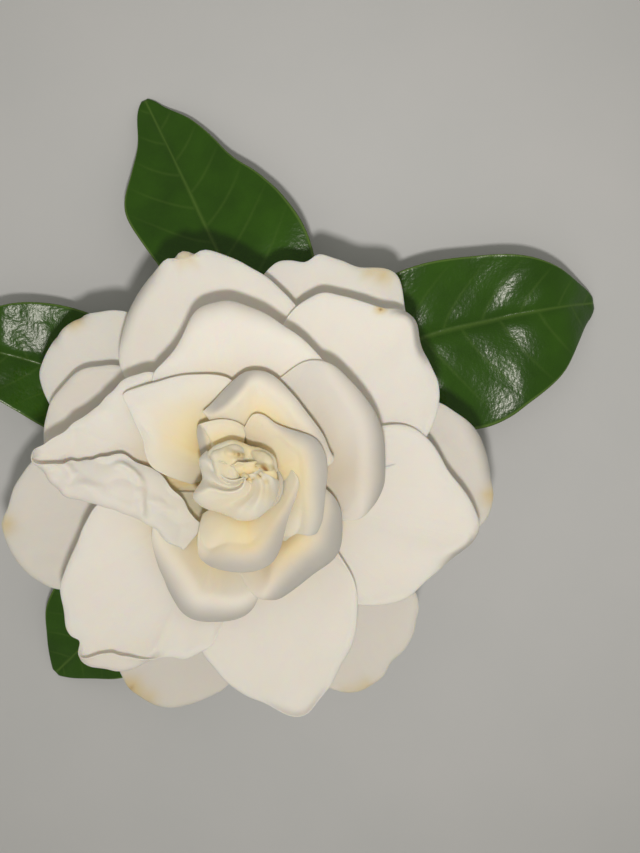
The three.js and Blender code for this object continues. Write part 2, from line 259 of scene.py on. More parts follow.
def add_node(tree, kind, inputs=None, **settings):
    """Adds a node with its settings. inputs maps a socket to a value, to another node's output or to
    another node, whose first output it takes."""
    node = tree.nodes.new(f"ShaderNode{kind}")
    for name, value in settings.items():
        setattr(node, name, value)
    for socket, value in (inputs or {}).items():
        if isinstance(value, bpy.types.Node):
            value = value.outputs[0]
        if isinstance(value, bpy.types.NodeSocket):
            tree.links.new(value, node.inputs[socket])
        else:
            node.inputs[socket].default_value = value
    return node


def material_named(name, add_surface, *details):
    """The material of this name. Where the file has none yet, add_surface gives its shader node, from
    its tree, the node of its texture coordinates and these details."""
    if name in bpy.data.materials:
        return bpy.data.materials[name]
    material = bpy.data.materials.new(name)
    material.use_nodes = True
    tree = material.node_tree
    tree.nodes.clear()
    surface = add_surface(tree, add_node(tree, "TexCoord"), *details)
    add_node(tree, "OutputMaterial", {"Surface": surface})
    return material


def set_ramp(ramp, *stops):
    """Gives a colour ramp its stops, which are pairs of a place and an sRGB hex colour."""
    elements = ramp.color_ramp.elements
    while len(elements) < len(stops):
        elements.new(0.5)
    for element, (place, srgb) in zip(elements, stops):
        element.position = place
        element.color = linear(srgb)


MIX_FACTOR, MIX_A, MIX_B, MIX_RESULT = 0, 6, 7, 2  # a colour mix's sockets


def petal_tissue(tree, place, settings):
    """Living petal tissue: soft, thin and matt, so light goes a little way in and comes out warm."""
    depth, stain_and_shade, edge = (
        add_node(tree, "Attribute", attribute_name=name).outputs["Fac"]
        for name in ("depth", "stain_and_shade", "edge"))

    # the white turns cream and then straw yellow towards the heart, in soft clouds 5 mm wide
    clouds = add_node(tree, "TexNoise", {
        "Vector": place.outputs["Object"], "Scale": 1 / (5 * MM), "Detail": 3.0})
    shifted = add_node(tree, "Math", {0: clouds, 1: 0.12, 2: depth}, operation="MULTIPLY_ADD")
    centred = add_node(tree, "Math", {0: shifted, 1: 0.06}, operation="SUBTRACT")
    tissue = add_node(tree, "ValToRGB", {"Fac": centred})
    set_ramp(tissue, (0.0, settings.white_hex), (0.35, settings.ivory_hex), (0.7, settings.cream_hex),
             (1.0, settings.straw_hex))

    # the margin is thinner and cooler than the blade, and the same grey is painted as shade on lips that
    # curl back and down and over whole petals that lie in shade
    rim = add_node(tree, "Mix", {
        MIX_FACTOR: edge, MIX_A: tissue, MIX_B: linear(settings.rim_and_shade_hex)}, data_type="RGBA")

    # bruised tips: yellow at their border and brown in the middle; in the heart the same yellow and brown
    # are painted along the crevices, partly as browning and partly as painted shade
    stain_and_shade_ramp = add_node(tree, "ValToRGB", {"Fac": stain_and_shade})
    set_ramp(stain_and_shade_ramp, (0.0, settings.stain_and_shade_hex), (0.6, settings.stain_and_shade_hex), (1.0, settings.brown_and_shade_hex))
    stained_and_shaded = add_node(tree, "Mix", {
        MIX_FACTOR: stain_and_shade, MIX_A: rim.outputs[MIX_RESULT], MIX_B: stain_and_shade_ramp}, data_type="RGBA")

    # veins fan out from the foot about 1 mm apart, and the skin's cells give a fine tooth
    fan = add_node(tree, "Mapping", {"Vector": place.outputs["UV"], "Scale": (38, 2.2, 1)})
    veins = add_node(tree, "TexNoise", {"Vector": fan, "Scale": 1.0, "Detail": 2.0})
    cells = add_node(tree, "TexNoise", {
        "Vector": place.outputs["Object"], "Scale": 1 / (0.5 * MM), "Detail": 2.0})
    vein_bump = add_node(tree, "Bump", {"Height": veins, "Strength": 0.35, "Distance": 0.12 * MM})
    skin = add_node(tree, "Bump", {
        "Height": cells, "Strength": 0.25, "Distance": 0.03 * MM, "Normal": vein_bump})

    return add_node(tree, "BsdfPrincipled", {
        "Base Color": stained_and_shaded.outputs[MIX_RESULT], "Normal": skin,
        "Roughness": 0.62, "IOR": 1.42, "Specular IOR Level": 0.35,
        "Subsurface Weight": 0.9, "Subsurface Radius": (1.0, 0.75, 0.45), "Subsurface Scale": 0.5 * MM,
        "Sheen Weight": 0.08, "Sheen Roughness": 0.5})


def waxy_leaf(tree, place, settings):
    """Waxy evergreen leaf: a deep green blade under a glossy cuticle, with paler sunken veins."""
    phase, midrib, side = (
        add_node(tree, "Attribute", attribute_name=name).outputs["Fac"]
        for name in ("phase", "midrib", "side"))

    # the blade's green is mottled over a few millimetres
    mottle = add_node(tree, "TexNoise", {
        "Vector": place.outputs["Object"], "Scale": 1 / (9 * MM), "Detail": 5.0})
    blade = add_node(tree, "ValToRGB", {"Fac": mottle})
    set_ramp(blade, (0.3, settings.blade_dark_hex), (0.7, settings.blade_hex))

    # side veins run where the phase is a whole number, and fade towards the margin
    away = add_node(tree, "Math", {0: phase, 1: 0.5}, operation="PINGPONG")
    line = add_node(tree, "MapRange", {
        "Value": away, "From Min": 0.0, "From Max": 0.07, "To Min": 0.16, "To Max": 0.0})
    fade = add_node(tree, "MapRange", {
        "Value": side, "From Min": 0.5, "From Max": 1.0, "To Min": 1.0, "To Max": 0.1})
    faded = add_node(tree, "Math", {0: line, 1: fade}, operation="MULTIPLY")
    ribbed = add_node(tree, "Math", {0: midrib, 1: 0.4}, operation="MULTIPLY")
    veins = add_node(tree, "Math", {0: faded, 1: ribbed}, operation="MAXIMUM")
    rim = add_node(tree, "MapRange", {
        "Value": side, "From Min": 0.965, "From Max": 0.99, "To Min": 0.0, "To Max": 0.6})
    lighter = add_node(tree, "Math", {0: veins, 1: rim}, operation="MAXIMUM")
    coloured = add_node(tree, "Mix", {
        MIX_FACTOR: lighter, MIX_A: blade, MIX_B: linear(settings.vein_hex)}, data_type="RGBA")

    # the skin is pebbled at about 0.8 mm, which breaks its reflections up
    pebbles = add_node(tree, "TexNoise", {
        "Vector": place.outputs["Object"], "Scale": 1 / (0.8 * MM), "Detail": 3.0})
    skin = add_node(tree, "Bump", {"Height": pebbles, "Strength": 0.8, "Distance": 0.1 * MM})

    return add_node(tree, "BsdfPrincipled", {
        "Base Color": coloured.outputs[MIX_RESULT], "Normal": skin,
        "Roughness": 0.24, "IOR": 1.45, "Specular IOR Level": 0.35})


def green_skin(tree, place, fresh_hex, dull_hex, cut_hex, grain, roughness):
    """Green skin of a young shoot: matt, pale where it was cut, and streaked along its length, grain
    times round it."""
    cut = add_node(tree, "Attribute", attribute_name="cut")
    drawn_out = add_node(tree, "Mapping", {"Vector": place.outputs["UV"], "Scale": (grain, grain / 6, 1)})
    streaks = add_node(tree, "TexNoise", {"Vector": drawn_out, "Scale": 1.0, "Detail": 6.0})
    skin = add_node(tree, "ValToRGB", {"Fac": streaks})
    set_ramp(skin, (0.3, dull_hex), (0.65, fresh_hex))
    coloured = add_node(tree, "Mix", {
        MIX_FACTOR: cut.outputs["Fac"], MIX_A: skin, MIX_B: linear(cut_hex)}, data_type="RGBA")
    bump = add_node(tree, "Bump", {"Height": streaks, "Strength": 0.5, "Distance": 0.15 * MM})
    return add_node(tree, "BsdfPrincipled", {
        "Base Color": coloured.outputs[MIX_RESULT], "Normal": bump,
        "Roughness": roughness, "IOR": 1.45})


def seamless_paper(tree, place, settings):
    """Matt seamless paper, with the faint clouding that paper has."""
    fibres = add_node(tree, "TexNoise", {
        "Vector": place.outputs["Object"], "Scale": 1 / (30 * MM), "Detail": 4.0})
    tone = add_node(tree, "ValToRGB", {"Fac": fibres})
    set_ramp(tone, (0.3, settings.floor_shade_hex), (0.7, settings.floor_hex))
    return add_node(tree, "BsdfPrincipled", {
        "Base Color": tone, "Roughness": 0.9, "Specular IOR Level": 0.2})


# ---------------------------------------------------------------- petals, in mm and degrees

RIM_START = (0, 0, 0, 3, 0, 0)  # the numbers that a rim's first row leaves out
HUG_REACH = 15  # distance from the axis at which a petal is bent down by its hug
CURL_SOFTENING = 3.5  # how far along the rim the direction of its curl is averaged
BEND_SOFTENING = 2  # the same, for the line along which a deep margin bends back
BEND_ROUNDS = 4  # enough for the bend to come to rest
DEEP_MARGIN = (2, 5)  # from where to where a margin's length counts more and more as deep
SWIRL_REACH = 7  # a gathered margin starts to wind this far from its point
NIBBLES = ((0.25, 3.5), (0.35, 9))  # depth and length of the unevenness of a margin
NIBBLE_REACH = 24  # the distance from the axis at which they are as deep as that
TEAR_DEPTH = 0.3
TEAR_LENGTH = 3
WAVE_LENGTH = 13
RIPPLE_LENGTH = 4.5
RIB_LENGTH = 3.4
YELLOWING = (25, 6)  # distances from the axis between which petals turn yellow
MARGIN_PALENESS = (1, 7)  # distances from the rim between which they get all of that yellow
CURL_PALENESS = (0.3, 1.5)  # radians of curl over which they lose it again
# the grey that a margin gets as it curls is painted shade, strongest where it curls back and down away from
# the light
CURL_PAINTED_SHADE = (0.2, 1.1)  # radians of curl over which they get grey
EDGE_WIDTH = 0.8
WALL_REACH = 5  # how far from the rim the wall is thinner


@dataclass
class Petal:
    """A petal's rim goes anticlockwise, in rows of (azimuth, reach, curl, roll, lip, lift), where the
    last numbers may be left out if they are those of the row before. The margin curls up and inwards,
    or down and back where curl is negative, by this angle and round a radius of roll, and goes
    straight on for lip. lift raises the rim."""

    node: str
    turn: float
    rim: tuple
    claw: float = None  # azimuth of the foot, where it isn't under the middle of the rim
    sag: float = 0.6  # how far the side margins fall below the middle
    cup: float = 0  # how much further than its nest the rim climbs
    hug: float = 0  # how far its nest is bent down, so that it clasps the heart
    wave: float = 0.7  # height of the rim's slow waves
    crumple: float = 0.12  # height of the small uneven creases
    crumple_size: float = 3.2
    crisp: float = 0  # 0 for soft hollows, 1 for sharp ridges
    fray: float = 1  # how uneven the margin is
    tear: float = 1  # how unevenly a curled margin ends
    gather: tuple = None  # the point that a curled margin is drawn in towards
    swirl: float = 0  # the angle by which it winds round that point on its way in
    warmth: float = 1  # how yellow it turns towards its foot
    # grey painted over the whole petal, as shade where it lies away from the light
    painted_grey_shade: float = 0  # how far all of it takes its rim's colour
    ribs: float = 0.1  # height of the soft ribs that run from the foot to the rim
    cells: tuple = (36, 28)  # how many across and along
    creases: tuple = ()  # rows of (azimuth, reach, azimuth, reach, depth, width)
    stains_and_shade: tuple = ()  # rows of (azimuth, reach, radius, strength)
    swells: tuple = ()  # rows of (azimuth, reach, radius, height)


def full_rows(rows):
    """The rows of a rim, with the numbers that they leave out."""
    row = RIM_START
    for given in rows:
        row = (*given, *row[len(given):])
        yield row


def rolled(distance, curl, roll, slope):
    """How far out and up a margin is, distance past its bend, where the petal climbs at this slope."""
    turned = np.abs(curl)
    angle = np.clip(distance / roll, 0, turned)
    beyond = np.maximum(0, distance - roll * turned)
    ahead = roll * np.sin(angle) + beyond * np.cos(turned)
    aside = np.sign(curl) * (roll * (1 - np.cos(angle)) + beyond * np.sin(turned))
    return ahead * np.cos(slope) - aside * np.sin(slope), ahead * np.sin(slope) + aside * np.cos(slope)


def spot(place, azimuth, reach, radius):
    """1 at a point, and less and less round it."""
    return np.exp(-((lengths(place - polar(azimuth, reach)) / radius) ** 2))


def crease(place, azimuth_a, reach_a, azimuth_b, reach_b, depth, width):
    """How deep a crease from one point to another is, which runs out at its ends."""
    start, end = polar(azimuth_a, reach_a), polar(azimuth_b, reach_b)
    span = end - start
    share = np.clip(np.sum((place - start) * span, axis=-1) / np.dot(span, span), 0, 1)
    away = lengths(place - start - share[..., None] * span)
    return depth * np.exp(-((away / width) ** 2)) * np.sqrt(np.maximum(0, np.sin(np.pi * share)))


def petal_margin(petal, rim):
    """The ends of the petal's columns, from the rim's last row to its first: their places, the
    directions in which they curl, and their azimuths, curls, rolls, lips and lifts. The last value is
    the distance between two columns."""
    control = [(*polar(azimuth, reach), azimuth, *rest) for azimuth, reach, *rest in rim]
    across = petal.cells[0]
    columns, tangent, rim_length = even_steps(spline(control), 2, np.linspace(1, 0, across + 1))
    spacing = rim_length / across
    edge = columns[:, :2]
    azimuth, curl, roll, lip, lift = columns[:, 2:].T
    nibbled = sum(
        depth * uneven(edge, length, petal.turn + seed) for seed, (depth, length) in enumerate(NIBBLES))
    edge = edge * (1 + (petal.fray * nibbled / NIBBLE_REACH)[:, None])
    lip = np.maximum(0, lip + TEAR_DEPTH * petal.tear * uneven(edge, TEAR_LENGTH, petal.turn + 2))
    outwards = -leftward(softened(tangent, spacing, CURL_SOFTENING))
    out = units(edge - petal.gather if petal.gather else outwards)
    return edge, out, azimuth, np.radians(curl), roll, lip, lift, spacing


def petal_bend(petal, edge, out, curl, roll, rolling, spacing):
    """Where each column starts to curl, so far inside the rim that the curled margin just reaches it,
    and how steeply the petal climbs there. rolling is the margin's length."""
    bend = edge
    for _ in range(BEND_ROUNDS):
        distance = lengths(bend)
        slope = np.arctan(nest_slope(petal.turn, distance) * np.sum(bend * out, axis=1) / distance)
        furthest = [rolled(share * rolling, curl, roll, slope)[0] for share in np.linspace(0, 1, 9)]
        bend = edge - out * np.max(furthest, axis=0)[:, None]
    # a deep margin that bends down and back does so along a smoother line than its rim
    smoother = softened(bend, spacing, BEND_SOFTENING)
    return bend + (smoother - bend) * (smooth_step(*DEEP_MARGIN, rolling) * (curl < 0))[:, None], slope


def petal_relief(petal, place, height, share, spacing, seed):
    """How far the skin is crumpled, ribbed and creased, mostly towards the rim."""
    small = uneven(place + 0.7 * np.dstack([height, -height]), petal.crumple_size, seed + 2)
    small = small * (1 - petal.crisp) + (0.5 - 2 * np.abs(small)) * petal.crisp
    along_rim = spacing * np.arange(share.shape[1]) + 0 * share
    ribs = uneven(np.dstack([along_rim, 6 * share]), RIB_LENGTH, seed + 3) * smooth_step(0, 0.4, share)
    creased = sum(crease(place, *row) for row in petal.creases)
    return petal.crumple * small * (0.3 + 0.7 * share) + petal.ribs * ribs - creased


def petal_shades(petal, place, from_rim, curl, curled):
    """What the skin's colour and thickness go by: deeper towards the heart, paler and thinner in the margin
    and where it curls, and bruised in places. Grey is painted as shade on lips that curl back and down and
    over petals that lie in shade, and the brown painted along the heart's crevices is partly browning and
    partly painted shade."""
    from_axis = lengths(place)
    stained_and_shaded = np.zeros_like(from_axis)
    for *where, strength in petal.stains_and_shade:
        stained_and_shaded = np.maximum(stained_and_shaded, strength * spot(place, *where))
    return {
        "depth": petal.warmth * smooth_step(*YELLOWING, from_axis)
        * (0.4 + 0.6 * smooth_step(*MARGIN_PALENESS, from_rim))
        * (1 - 0.6 * smooth_step(*CURL_PALENESS, curled) * smooth_step(4, 10, from_axis)),
        # edge: a little grey in the thin margin, grey painted as shade where the margin curls, most where
        # it curls back and down, and over whole petals that lie in shade
        "edge": np.minimum(1, petal.painted_grey_shade + 0.15 * np.exp(-from_rim / EDGE_WIDTH)
                           + np.where(curl < 0, 0.75, 0.1) * smooth_step(*CURL_PAINTED_SHADE, curled)),
        "stain_and_shade": stained_and_shaded,
        "wall": 0.55 + 0.45 * smooth_step(0, WALL_REACH, from_rim),
    }


def petal_surface(petal):
    """The petal's middle surface: its points, and the numbers its material reads."""
    rim = list(full_rows(petal.rim))
    edge, out, azimuth, curl, roll, lip, lift, spacing = petal_margin(petal, rim)
    middle = (rim[0][0] + rim[-1][0]) / 2
    claw = middle if petal.claw is None else petal.claw
    foot = polar(claw + FOOT_SHARE * (azimuth - middle), foot_radius(petal.turn) - FOOT_DEPTH)
    rolling = roll * np.abs(curl) + lip
    bend, slope = petal_bend(petal, edge, out, curl, roll, rolling, spacing)

    flat = lengths(bend - foot)
    along = np.linspace(0, 1, petal.cells[1] + 1)
    along = (along * (1.5 - 0.5 * along))[:, None]  # closer rows towards the rim
    distance = along * (flat + rolling)
    share = np.minimum(1, distance / flat)
    beyond = np.maximum(0, distance - flat)
    plan = foot + (bend - foot) * share[..., None]
    reach = lengths(plan)
    ahead, up = rolled(beyond, curl, roll, slope)
    place = plan + out * ahead[..., None]
    if petal.swirl:
        away = place - petal.gather
        wound = (np.radians(petal.swirl) * smooth_step(SWIRL_REACH, 1, lengths(away)))[..., None]
        place = petal.gather + away * np.cos(wound) + leftward(away) * np.sin(wound)

    # the blade nests, and its rim is lifted, sags at its sides and waves
    seed = foot_radius(petal.turn) + math.radians(middle)
    to_side = np.abs(np.linspace(-1, 1, petal.cells[0] + 1))
    height = nest_height(petal.turn, reach) - petal.hug * (reach / HUG_REACH) ** 2
    height += (petal.cup + lift) * share**3 + up
    height -= petal.sag * to_side**4 * share**2
    height += petal.wave * share**3 * uneven(plan, WAVE_LENGTH, seed)
    height += petal.wave / 3 * share**8 * uneven(plan, RIPPLE_LENGTH, seed + 1)
    for *where, rise in petal.swells:
        height += rise * spot(plan, *where)

    from_rim = np.minimum((1 - along) * (flat + rolling), (1 - to_side) * np.maximum(4, 0.5 * flat))
    curled = np.clip(beyond / roll, 0, np.abs(curl))
    attributes = petal_shades(petal, place, from_rim, curl, curled)
    attributes["relief"] = petal_relief(petal, place, height, share, spacing, seed)
    return np.dstack([place, height]), attributes


def add_petals(petals, context):
    settings = context.scene.gardenia_petals
    for petal in petals:
        bm = grid_mesh(*petal_surface(petal))
        relief = bm.verts.layers.float["relief"]
        for vertex in bm.verts:
            vertex.co += vertex.normal * vertex[relief] * MM
        material = material_named("petal tissue", petal_tissue, settings)
        add_piece(petal.node, bm, material, settings.thickness)
    return {"FINISHED"}


GUARD_PETALS = (
    Petal("guard_petal_1", 0.25, (
        (163, 29), (170, 37), (181, 42.5, -16), (188, 45.4), (191, 46.3), (202, 45, -26, 4),
        (211, 40, -16, 3), (218, 32, 0)), cup=3, stains_and_shade=((190.9, 45.5, 1.8, 0.55),), painted_grey_shade=0.15),
    Petal("guard_petal_2", 0, (
        (118, 30), (125, 38.5), (133, 43, -16), (137, 44, -120, 1, 1), (141, 44.6), (146, 44.6, -20, 3, 0),
        (154, 43), (163, 36, 0), (168, 29)), cup=2.5, stains_and_shade=((137.4, 44, 1.6, 0.75),)),
    Petal("guard_petal_3", 0.1, (
        (35, 30), (41, 40), (47, 44.1, -16), (50.3, 46.2), (53.2, 47.9, -26, 4), (56.3, 47.7, -16, 3),
        (61.4, 45.4, -20), (65.3, 45.2), (70.2, 44.6, -10), (72.9, 44.3, 0), (73.6, 42.4), (78, 42, -10),
        (83, 40, 0), (93, 30)), cup=2.5, creases=((53, 46.5, 52, 43, 0.5, 0.8),),
        stains_and_shade=((56, 46.5, 2, 0.6), (59, 45.3, 1.5, 0.45))),
    Petal("guard_petal_4", 0.2, (
        (-24, 30), (-17, 40), (-11.2, 45.2, -16), (-8.8, 46.4), (-4, 46.7, -20), (0.6, 45.9, -50, 4),
        (5.4, 45.7, -55), (11.7, 44.5, -50), (17.4, 41.7, -16, 3), (25, 36, 0), (31, 28)), cup=3,
        creases=((18, 37, 4, 42.5, 0.5, 1.2),), stains_and_shade=((-4, 46.2, 1.7, 0.65),), painted_grey_shade=0.2),
    Petal("guard_petal_5", 0, (
        (281, 29), (287, 38), (293, 43.4, -16), (297.5, 45), (302.5, 45.8), (306.7, 45.3),
        (308.2, 44.5, -20), (312, 44.2, -16), (316.1, 43.4), (320.9, 41.5), (326, 39.1, -20),
        (334, 29, 0)), cup=3, creases=((306, 45, 322, 33, 0.25, 0.9),), stains_and_shade=((300, 45.4, 1.5, 0.5),
        (296, 44.8, 1.5, 0.4)), painted_grey_shade=0.2),
    Petal("guard_petal_6", 0, (
        (226, 31), (233, 41), (240, 44.8, -16), (244, 45.5), (251, 45.5, -20), (260, 42, -16),
        (269, 36, 0), (276, 28)), cup=3, stains_and_shade=((241.5, 45, 2.2, 0.75), (246, 45.5, 2, 0.5)), painted_grey_shade=0.25),
)

OUTER_PETALS = (
    Petal("outer_petal_1", 0.7, (
        (58, 22), (67, 31), (80, 36.5, -20), (90, 39.8, -14), (97, 42.3, -16), (100.5, 43.3, -10),
        (102.5, 43.4, 150, 0.7, 1.8), (107, 43.6), (109.5, 43.2, 0, 3, 0), (114.7, 41.6, -60),
        (120, 39.6, -80), (126, 36.5, -60), (137, 31, -20), (145, 21, 0)), cup=3,
        creases=((122, 37, 119, 31, 0.3, 0.8),), stains_and_shade=((104.5, 42.4, 1.5, 0.4),)),
    Petal("outer_petal_2", 0.9, (
        (2, 23), (8, 31), (13.8, 34.9, -20), (18.5, 37.3, -16), (24.2, 39.3), (30.1, 40.3, -20),
        (35.1, 40.8, -50, 1.2, 1.8), (38.1, 41.7, -60, 1, 2), (42.3, 43.7, -60, 1, 2.2),
        (46.8, 43.2, -60, 1, 1.8), (50.2, 40.8, -20, 3, 0), (55.4, 39.5, -14), (61, 38.6), (66.3, 37.5),
        (69.8, 35.6, -20), (74, 32, 0), (81, 22)), cup=3, stains_and_shade=((50.7, 40.1, 0.8, 1.0),),
        cells=(48, 36)),
    Petal("outer_petal_3", 1.1, (
        (303, 22), (310, 29), (319, 34.5, -20), (327.3, 37.6, -16), (335, 39.3, -26, 4),
        (340.4, 41.3, -60, 1.2, 1.2), (344.6, 43.3, -65), (347.8, 44, -50, 2, 0), (350.2, 43.6, -26, 3),
        (354.8, 41.9, -16), (358.8, 39.8, -20), (361.8, 37.9, -10, 4), (364.7, 37), (368.6, 36.2, -16, 3),
        (375, 33.6), (379.8, 30.6, -20), (383, 24, 0)), cup=2.5,
        creases=((362, 36.5, 356, 38, 0.5, 0.9),)),
    Petal("outer_petal_4", 1.35, (
        (245, 20), (250, 26), (257, 31.9, -20), (261.6, 34.2), (266.5, 37.2, -14), (272, 39.3, -20),
        (276.6, 41, 40, 0.8, 0.5), (280.5, 42.7, 60, 0.8, 0.8), (284.5, 44, 70), (289.8, 41.7, 60),
        (294.3, 40.1, -20, 3, 0), (297.8, 38.2), (303.6, 36.2), (310.2, 32.4, -16), (315.1, 29.8, -20),
        (319.3, 26.6, 0), (324, 21)), cup=2.5),
    Petal("outer_petal_5", 1.6, (
        (186, 21), (189.7, 26.6), (200.2, 31.2, -20), (208.5, 36, -16), (212, 38, -20), (215.3, 39.1),
        (219.2, 40.6), (222, 41.1, -15, 2), (223.7, 40.7, -10, 1), (224.6, 40.1),
        (226, 41.3, 60, 0.8, 0.8), (228, 42.3, 120, 0.9, 1.5), (230.5, 42.2, 150, 0.9, 2.4),
        (234, 41.2, 160, 1, 2.6), (237.5, 39.8), (240.5, 38, 150, 0.9, 2), (243, 35.9, 110, 0.9, 1.2),
        (247.5, 33.9, -10, 3, 0), (252, 33.4, -20), (257, 31.2), (260.5, 29.4, 0), (267, 21)), cup=2.5,
        tear=2, cells=(72, 40)),
    Petal("outer_petal_6", 0.5, (
        (126, 21), (137, 31, -20), (141.3, 33.7, -16), (145.4, 35.8), (152.7, 37.6, -20), (159.6, 38.3),
        (169, 37.8), (176, 35), (182, 32, 0), (191, 22)), cup=3, painted_grey_shade=0.15),
)

MIDDLE_PETALS = (
    Petal("middle_petal_1", 1.95, (
        (122, 22), (129.8, 25.3, -20), (139, 27.2, -25), (148.4, 28.4, -20), (156.5, 30.1),
        (163.3, 32.4, -5), (168.3, 34.4, 0, 2), (171, 36.8, 30, 1.2, 1), (173.7, 36.8, 100, 1.2, 1.2),
        (176, 36, 160, 1.3, 1.6), (178.8, 34.7, 185, 1.5, 2.6), (181.8, 32.7, 190, 1.6, 4.4),
        (184.4, 30.8, 192, 1.7, 4.8), (186.5, 28.4, 192, 1.8, 6.4), (188.4, 26.1, 192, 1.8, 6.2),
        (190.2, 24.2, 190, 1.8, 7.9), (192.4, 22.4, 190, 1.8, 7.4), (196.5, 20.5, 184, 1.5, 8.4),
        (201.4, 18.9, 176, 1.2, 7), (208, 17.6, 168, 1, 6.3), (216.8, 16.7, 160, 0.9, 5.6),
        (224, 16.3, 157, 0.8), (230.5, 16.2, 155, 0.7)), sag=0, cup=2, cells=(100, 66), crumple=0.7,
        crumple_size=4.6, crisp=0.7, fray=2, tear=5, creases=((171, 22.2, 174, 19.2, 1.2, 0.5),
        (174, 19.2, 182, 17.6, 1.4, 0.5), (182, 17.6, 200, 18.7, 1.4, 0.5), (176, 33, 173, 37, 0.8, 0.7),
        (172, 32, 178, 29, 0.9, 0.7), (180, 29, 184, 24, 0.7, 0.8), (196, 14, 192, 17, 0.8, 0.5),
        (204, 12.6, 197, 16.4, 0.5, 0.5))),
    Petal("middle_petal_2", 2.15, (
        (42, 19), (49.9, 24.5, -10, 4), (59, 26.8, -25), (71.9, 28.3, -30), (82.8, 30.5, -40, 5),
        (94, 32.1, -45), (98.2, 31.9), (105, 31.2, -40), (111.4, 27.9, -30, 4), (116.5, 26.1),
        (122, 25.2, -20), (130.6, 24.2, 0, 3), (134, 20)), cup=1.5,
        creases=((111, 28, 104, 24, 0.4, 1.4),)),
    Petal("middle_petal_3", 2.3, (
        (-28, 14), (-20.3, 19.8), (-15.2, 22.9, -30, 4), (-5.5, 24.9, -55, 5), (4.4, 25.9, -60),
        (15.9, 26.7), (27.9, 27, -50), (40, 26.6, -40), (52.6, 26.2, -30, 4), (62, 24, 0, 3), (70, 19)),
        cup=1.5, sag=0.3, stains_and_shade=((5, 20, 4, 0.12),), painted_grey_shade=0.25, warmth=0.7),
    Petal("middle_petal_4", 2.15, (
        (188, 13, 0, 3, 0, -1.5), (206, 17.5, -20, 4), (225, 21, -50, 5, 0, -0.5),
        (245, 25.5, -72, 5, 0, 0), (257, 26, -78), (266, 24.8, -75, 4.5), (275, 23, -60, 4),
        (287, 17, 0, 3)), cup=2.5, sag=0.3, warmth=1.2),
    Petal("middle_petal_5", 2.6, (
        (264, 13.5, 0, 4, 0, -3), (274, 18.6, -10, 4, 0, -2.8), (281, 21, -35, 4, 0, -2),
        (288, 21.5, -65, 5, 0, -1.2), (297, 21.2, -80, 5, 0, -0.5), (309.6, 20.9, -85, 5, 0, 0),
        (323.8, 21.4, -85, 5.5), (337, 19.6, -80, 5), (350, 17.4, -60, 4), (366, 12, 0, 3)), cup=3.5,
        sag=0.3, wave=0.4, painted_grey_shade=0.1, warmth=1.5),
)

INNER_PETALS = (
    Petal("inner_petal_1", 2.9, (
        (84, 13), (95.5, 18.4, -10), (114.7, 21.1, -15), (132, 23.7, -25, 2), (139, 25.2, -20),
        (143.4, 26, -10), (145.7, 24, 0), (151.2, 20.8, 20, 1.5), (156.8, 18.6, 30), (162.4, 17.8, 20),
        (170.6, 15.8, 0, 3), (176.4, 12.6), (184, 9)), sag=0.2, hug=1.3, wave=0.3,
        creases=((151, 19.6, 153, 17.4, 0.4, 0.4),)),
    Petal("inner_petal_2", 3.45, (
        (6, 13), (12.7, 17, -40, 4), (18.8, 16.8, -45), (30.8, 17, -50), (44, 17.1, -45), (57.2, 18),
        (67, 19.2, -50), (75.9, 20, -55, 3.5), (84.3, 19.8, -60, 2.5, 0.5, 0.5),
        (91, 18.7, -65, 1.6, 2, 1), (96.5, 17.3, -65, 1.4, 2.4, 1.2), (103, 15.8, -65, 1.3, 2.2),
        (109, 14.9, -60, 1.2, 1.6, 1), (118, 14, -30, 1.2, 0.6, 0.5)), claw=74, sag=0.1, hug=3, wave=0.3,
        cells=(52, 36)),
    Petal("inner_petal_3", 3.75, (
        (-58, 11, 0, 4, 0, -3), (-50, 14, -20), (-40, 15.8, -45, 4, 0, -2.4), (-28, 16, -60, 3.8, 0, -1.6),
        (-16, 15.6, -65, 3.6, 0, -0.8), (-3.9, 15.2, -70, 3.6, 0, 0), (8.4, 15.7, -75, 3.8), (22.8, 15.8),
        (32, 15.2, -70, 3.6), (42.6, 13.3, -60, 3), (58, 12.2, -50, 2), (69.2, 12.7, -40, 1.5),
        (79, 12.2, -20), (86, 9.5, 0, 3)), claw=8, sag=0.1, hug=3, wave=0.25, cells=(56, 36), painted_grey_shade=0.05,
        swells=((20, 6.5, 4, 2.5),)),
    Petal("inner_petal_4", 4.1, (
        (220, 8.5, 0, 3, 0, -2.5), (232, 11.8, -5, 3, 0, -2.2), (242, 14.7, -40, 3.5, 0, -1.5),
        (250, 15.1, -65, 3.8, 0, -0.8), (259, 15.2, -75, 4, 0, -0.3), (272.4, 15.6, -75, 4, 0, 0),
        (288.3, 15.5), (301, 13.8, -75, 3.6), (313, 11.6, -70, 3), (328.9, 10.3, -60, 2),
        (348.7, 10.3, -50), (362, 10.4, -30), (374, 9.6, 0, 3)), claw=300, sag=0.5, hug=4.5, wave=0.2,
        cells=(52, 36), swells=((262, 6, 4.5, 3),)),
)

# where the heart is most crumpled, it is creased from one petal to the next, and brown is painted along the
# creases, partly as browning and partly as painted shade in the crevices
CREVICES = (
    (112, 5.8, 80, 4.7, 1.1, 0.4), (44, 4.3, 24, 6.6, 0.8, 0.35), (80, 1.5, 18, 2.9, 0.8, 0.35),
    (16, 3.4, 26, 4.6, 0.7, 0.3))
CREVICE_BROWNING_AND_SHADE = (
    (99, 5.2, 0.35, 0.8), (94, 5, 0.4, 1), (88, 4.9, 0.35, 0.8), (44, 4.4, 0.45, 0.9), (31, 5.3, 0.5, 1),
    (26, 6.4, 0.4, 0.7), (75, 1.5, 0.4, 0.8), (37, 2, 0.5, 1), (18, 2.8, 0.4, 0.8), (19, 3.9, 0.45, 1),
    (3, 4.8, 0.6, 0.6), (343, 5.2, 1.6, 0.35))

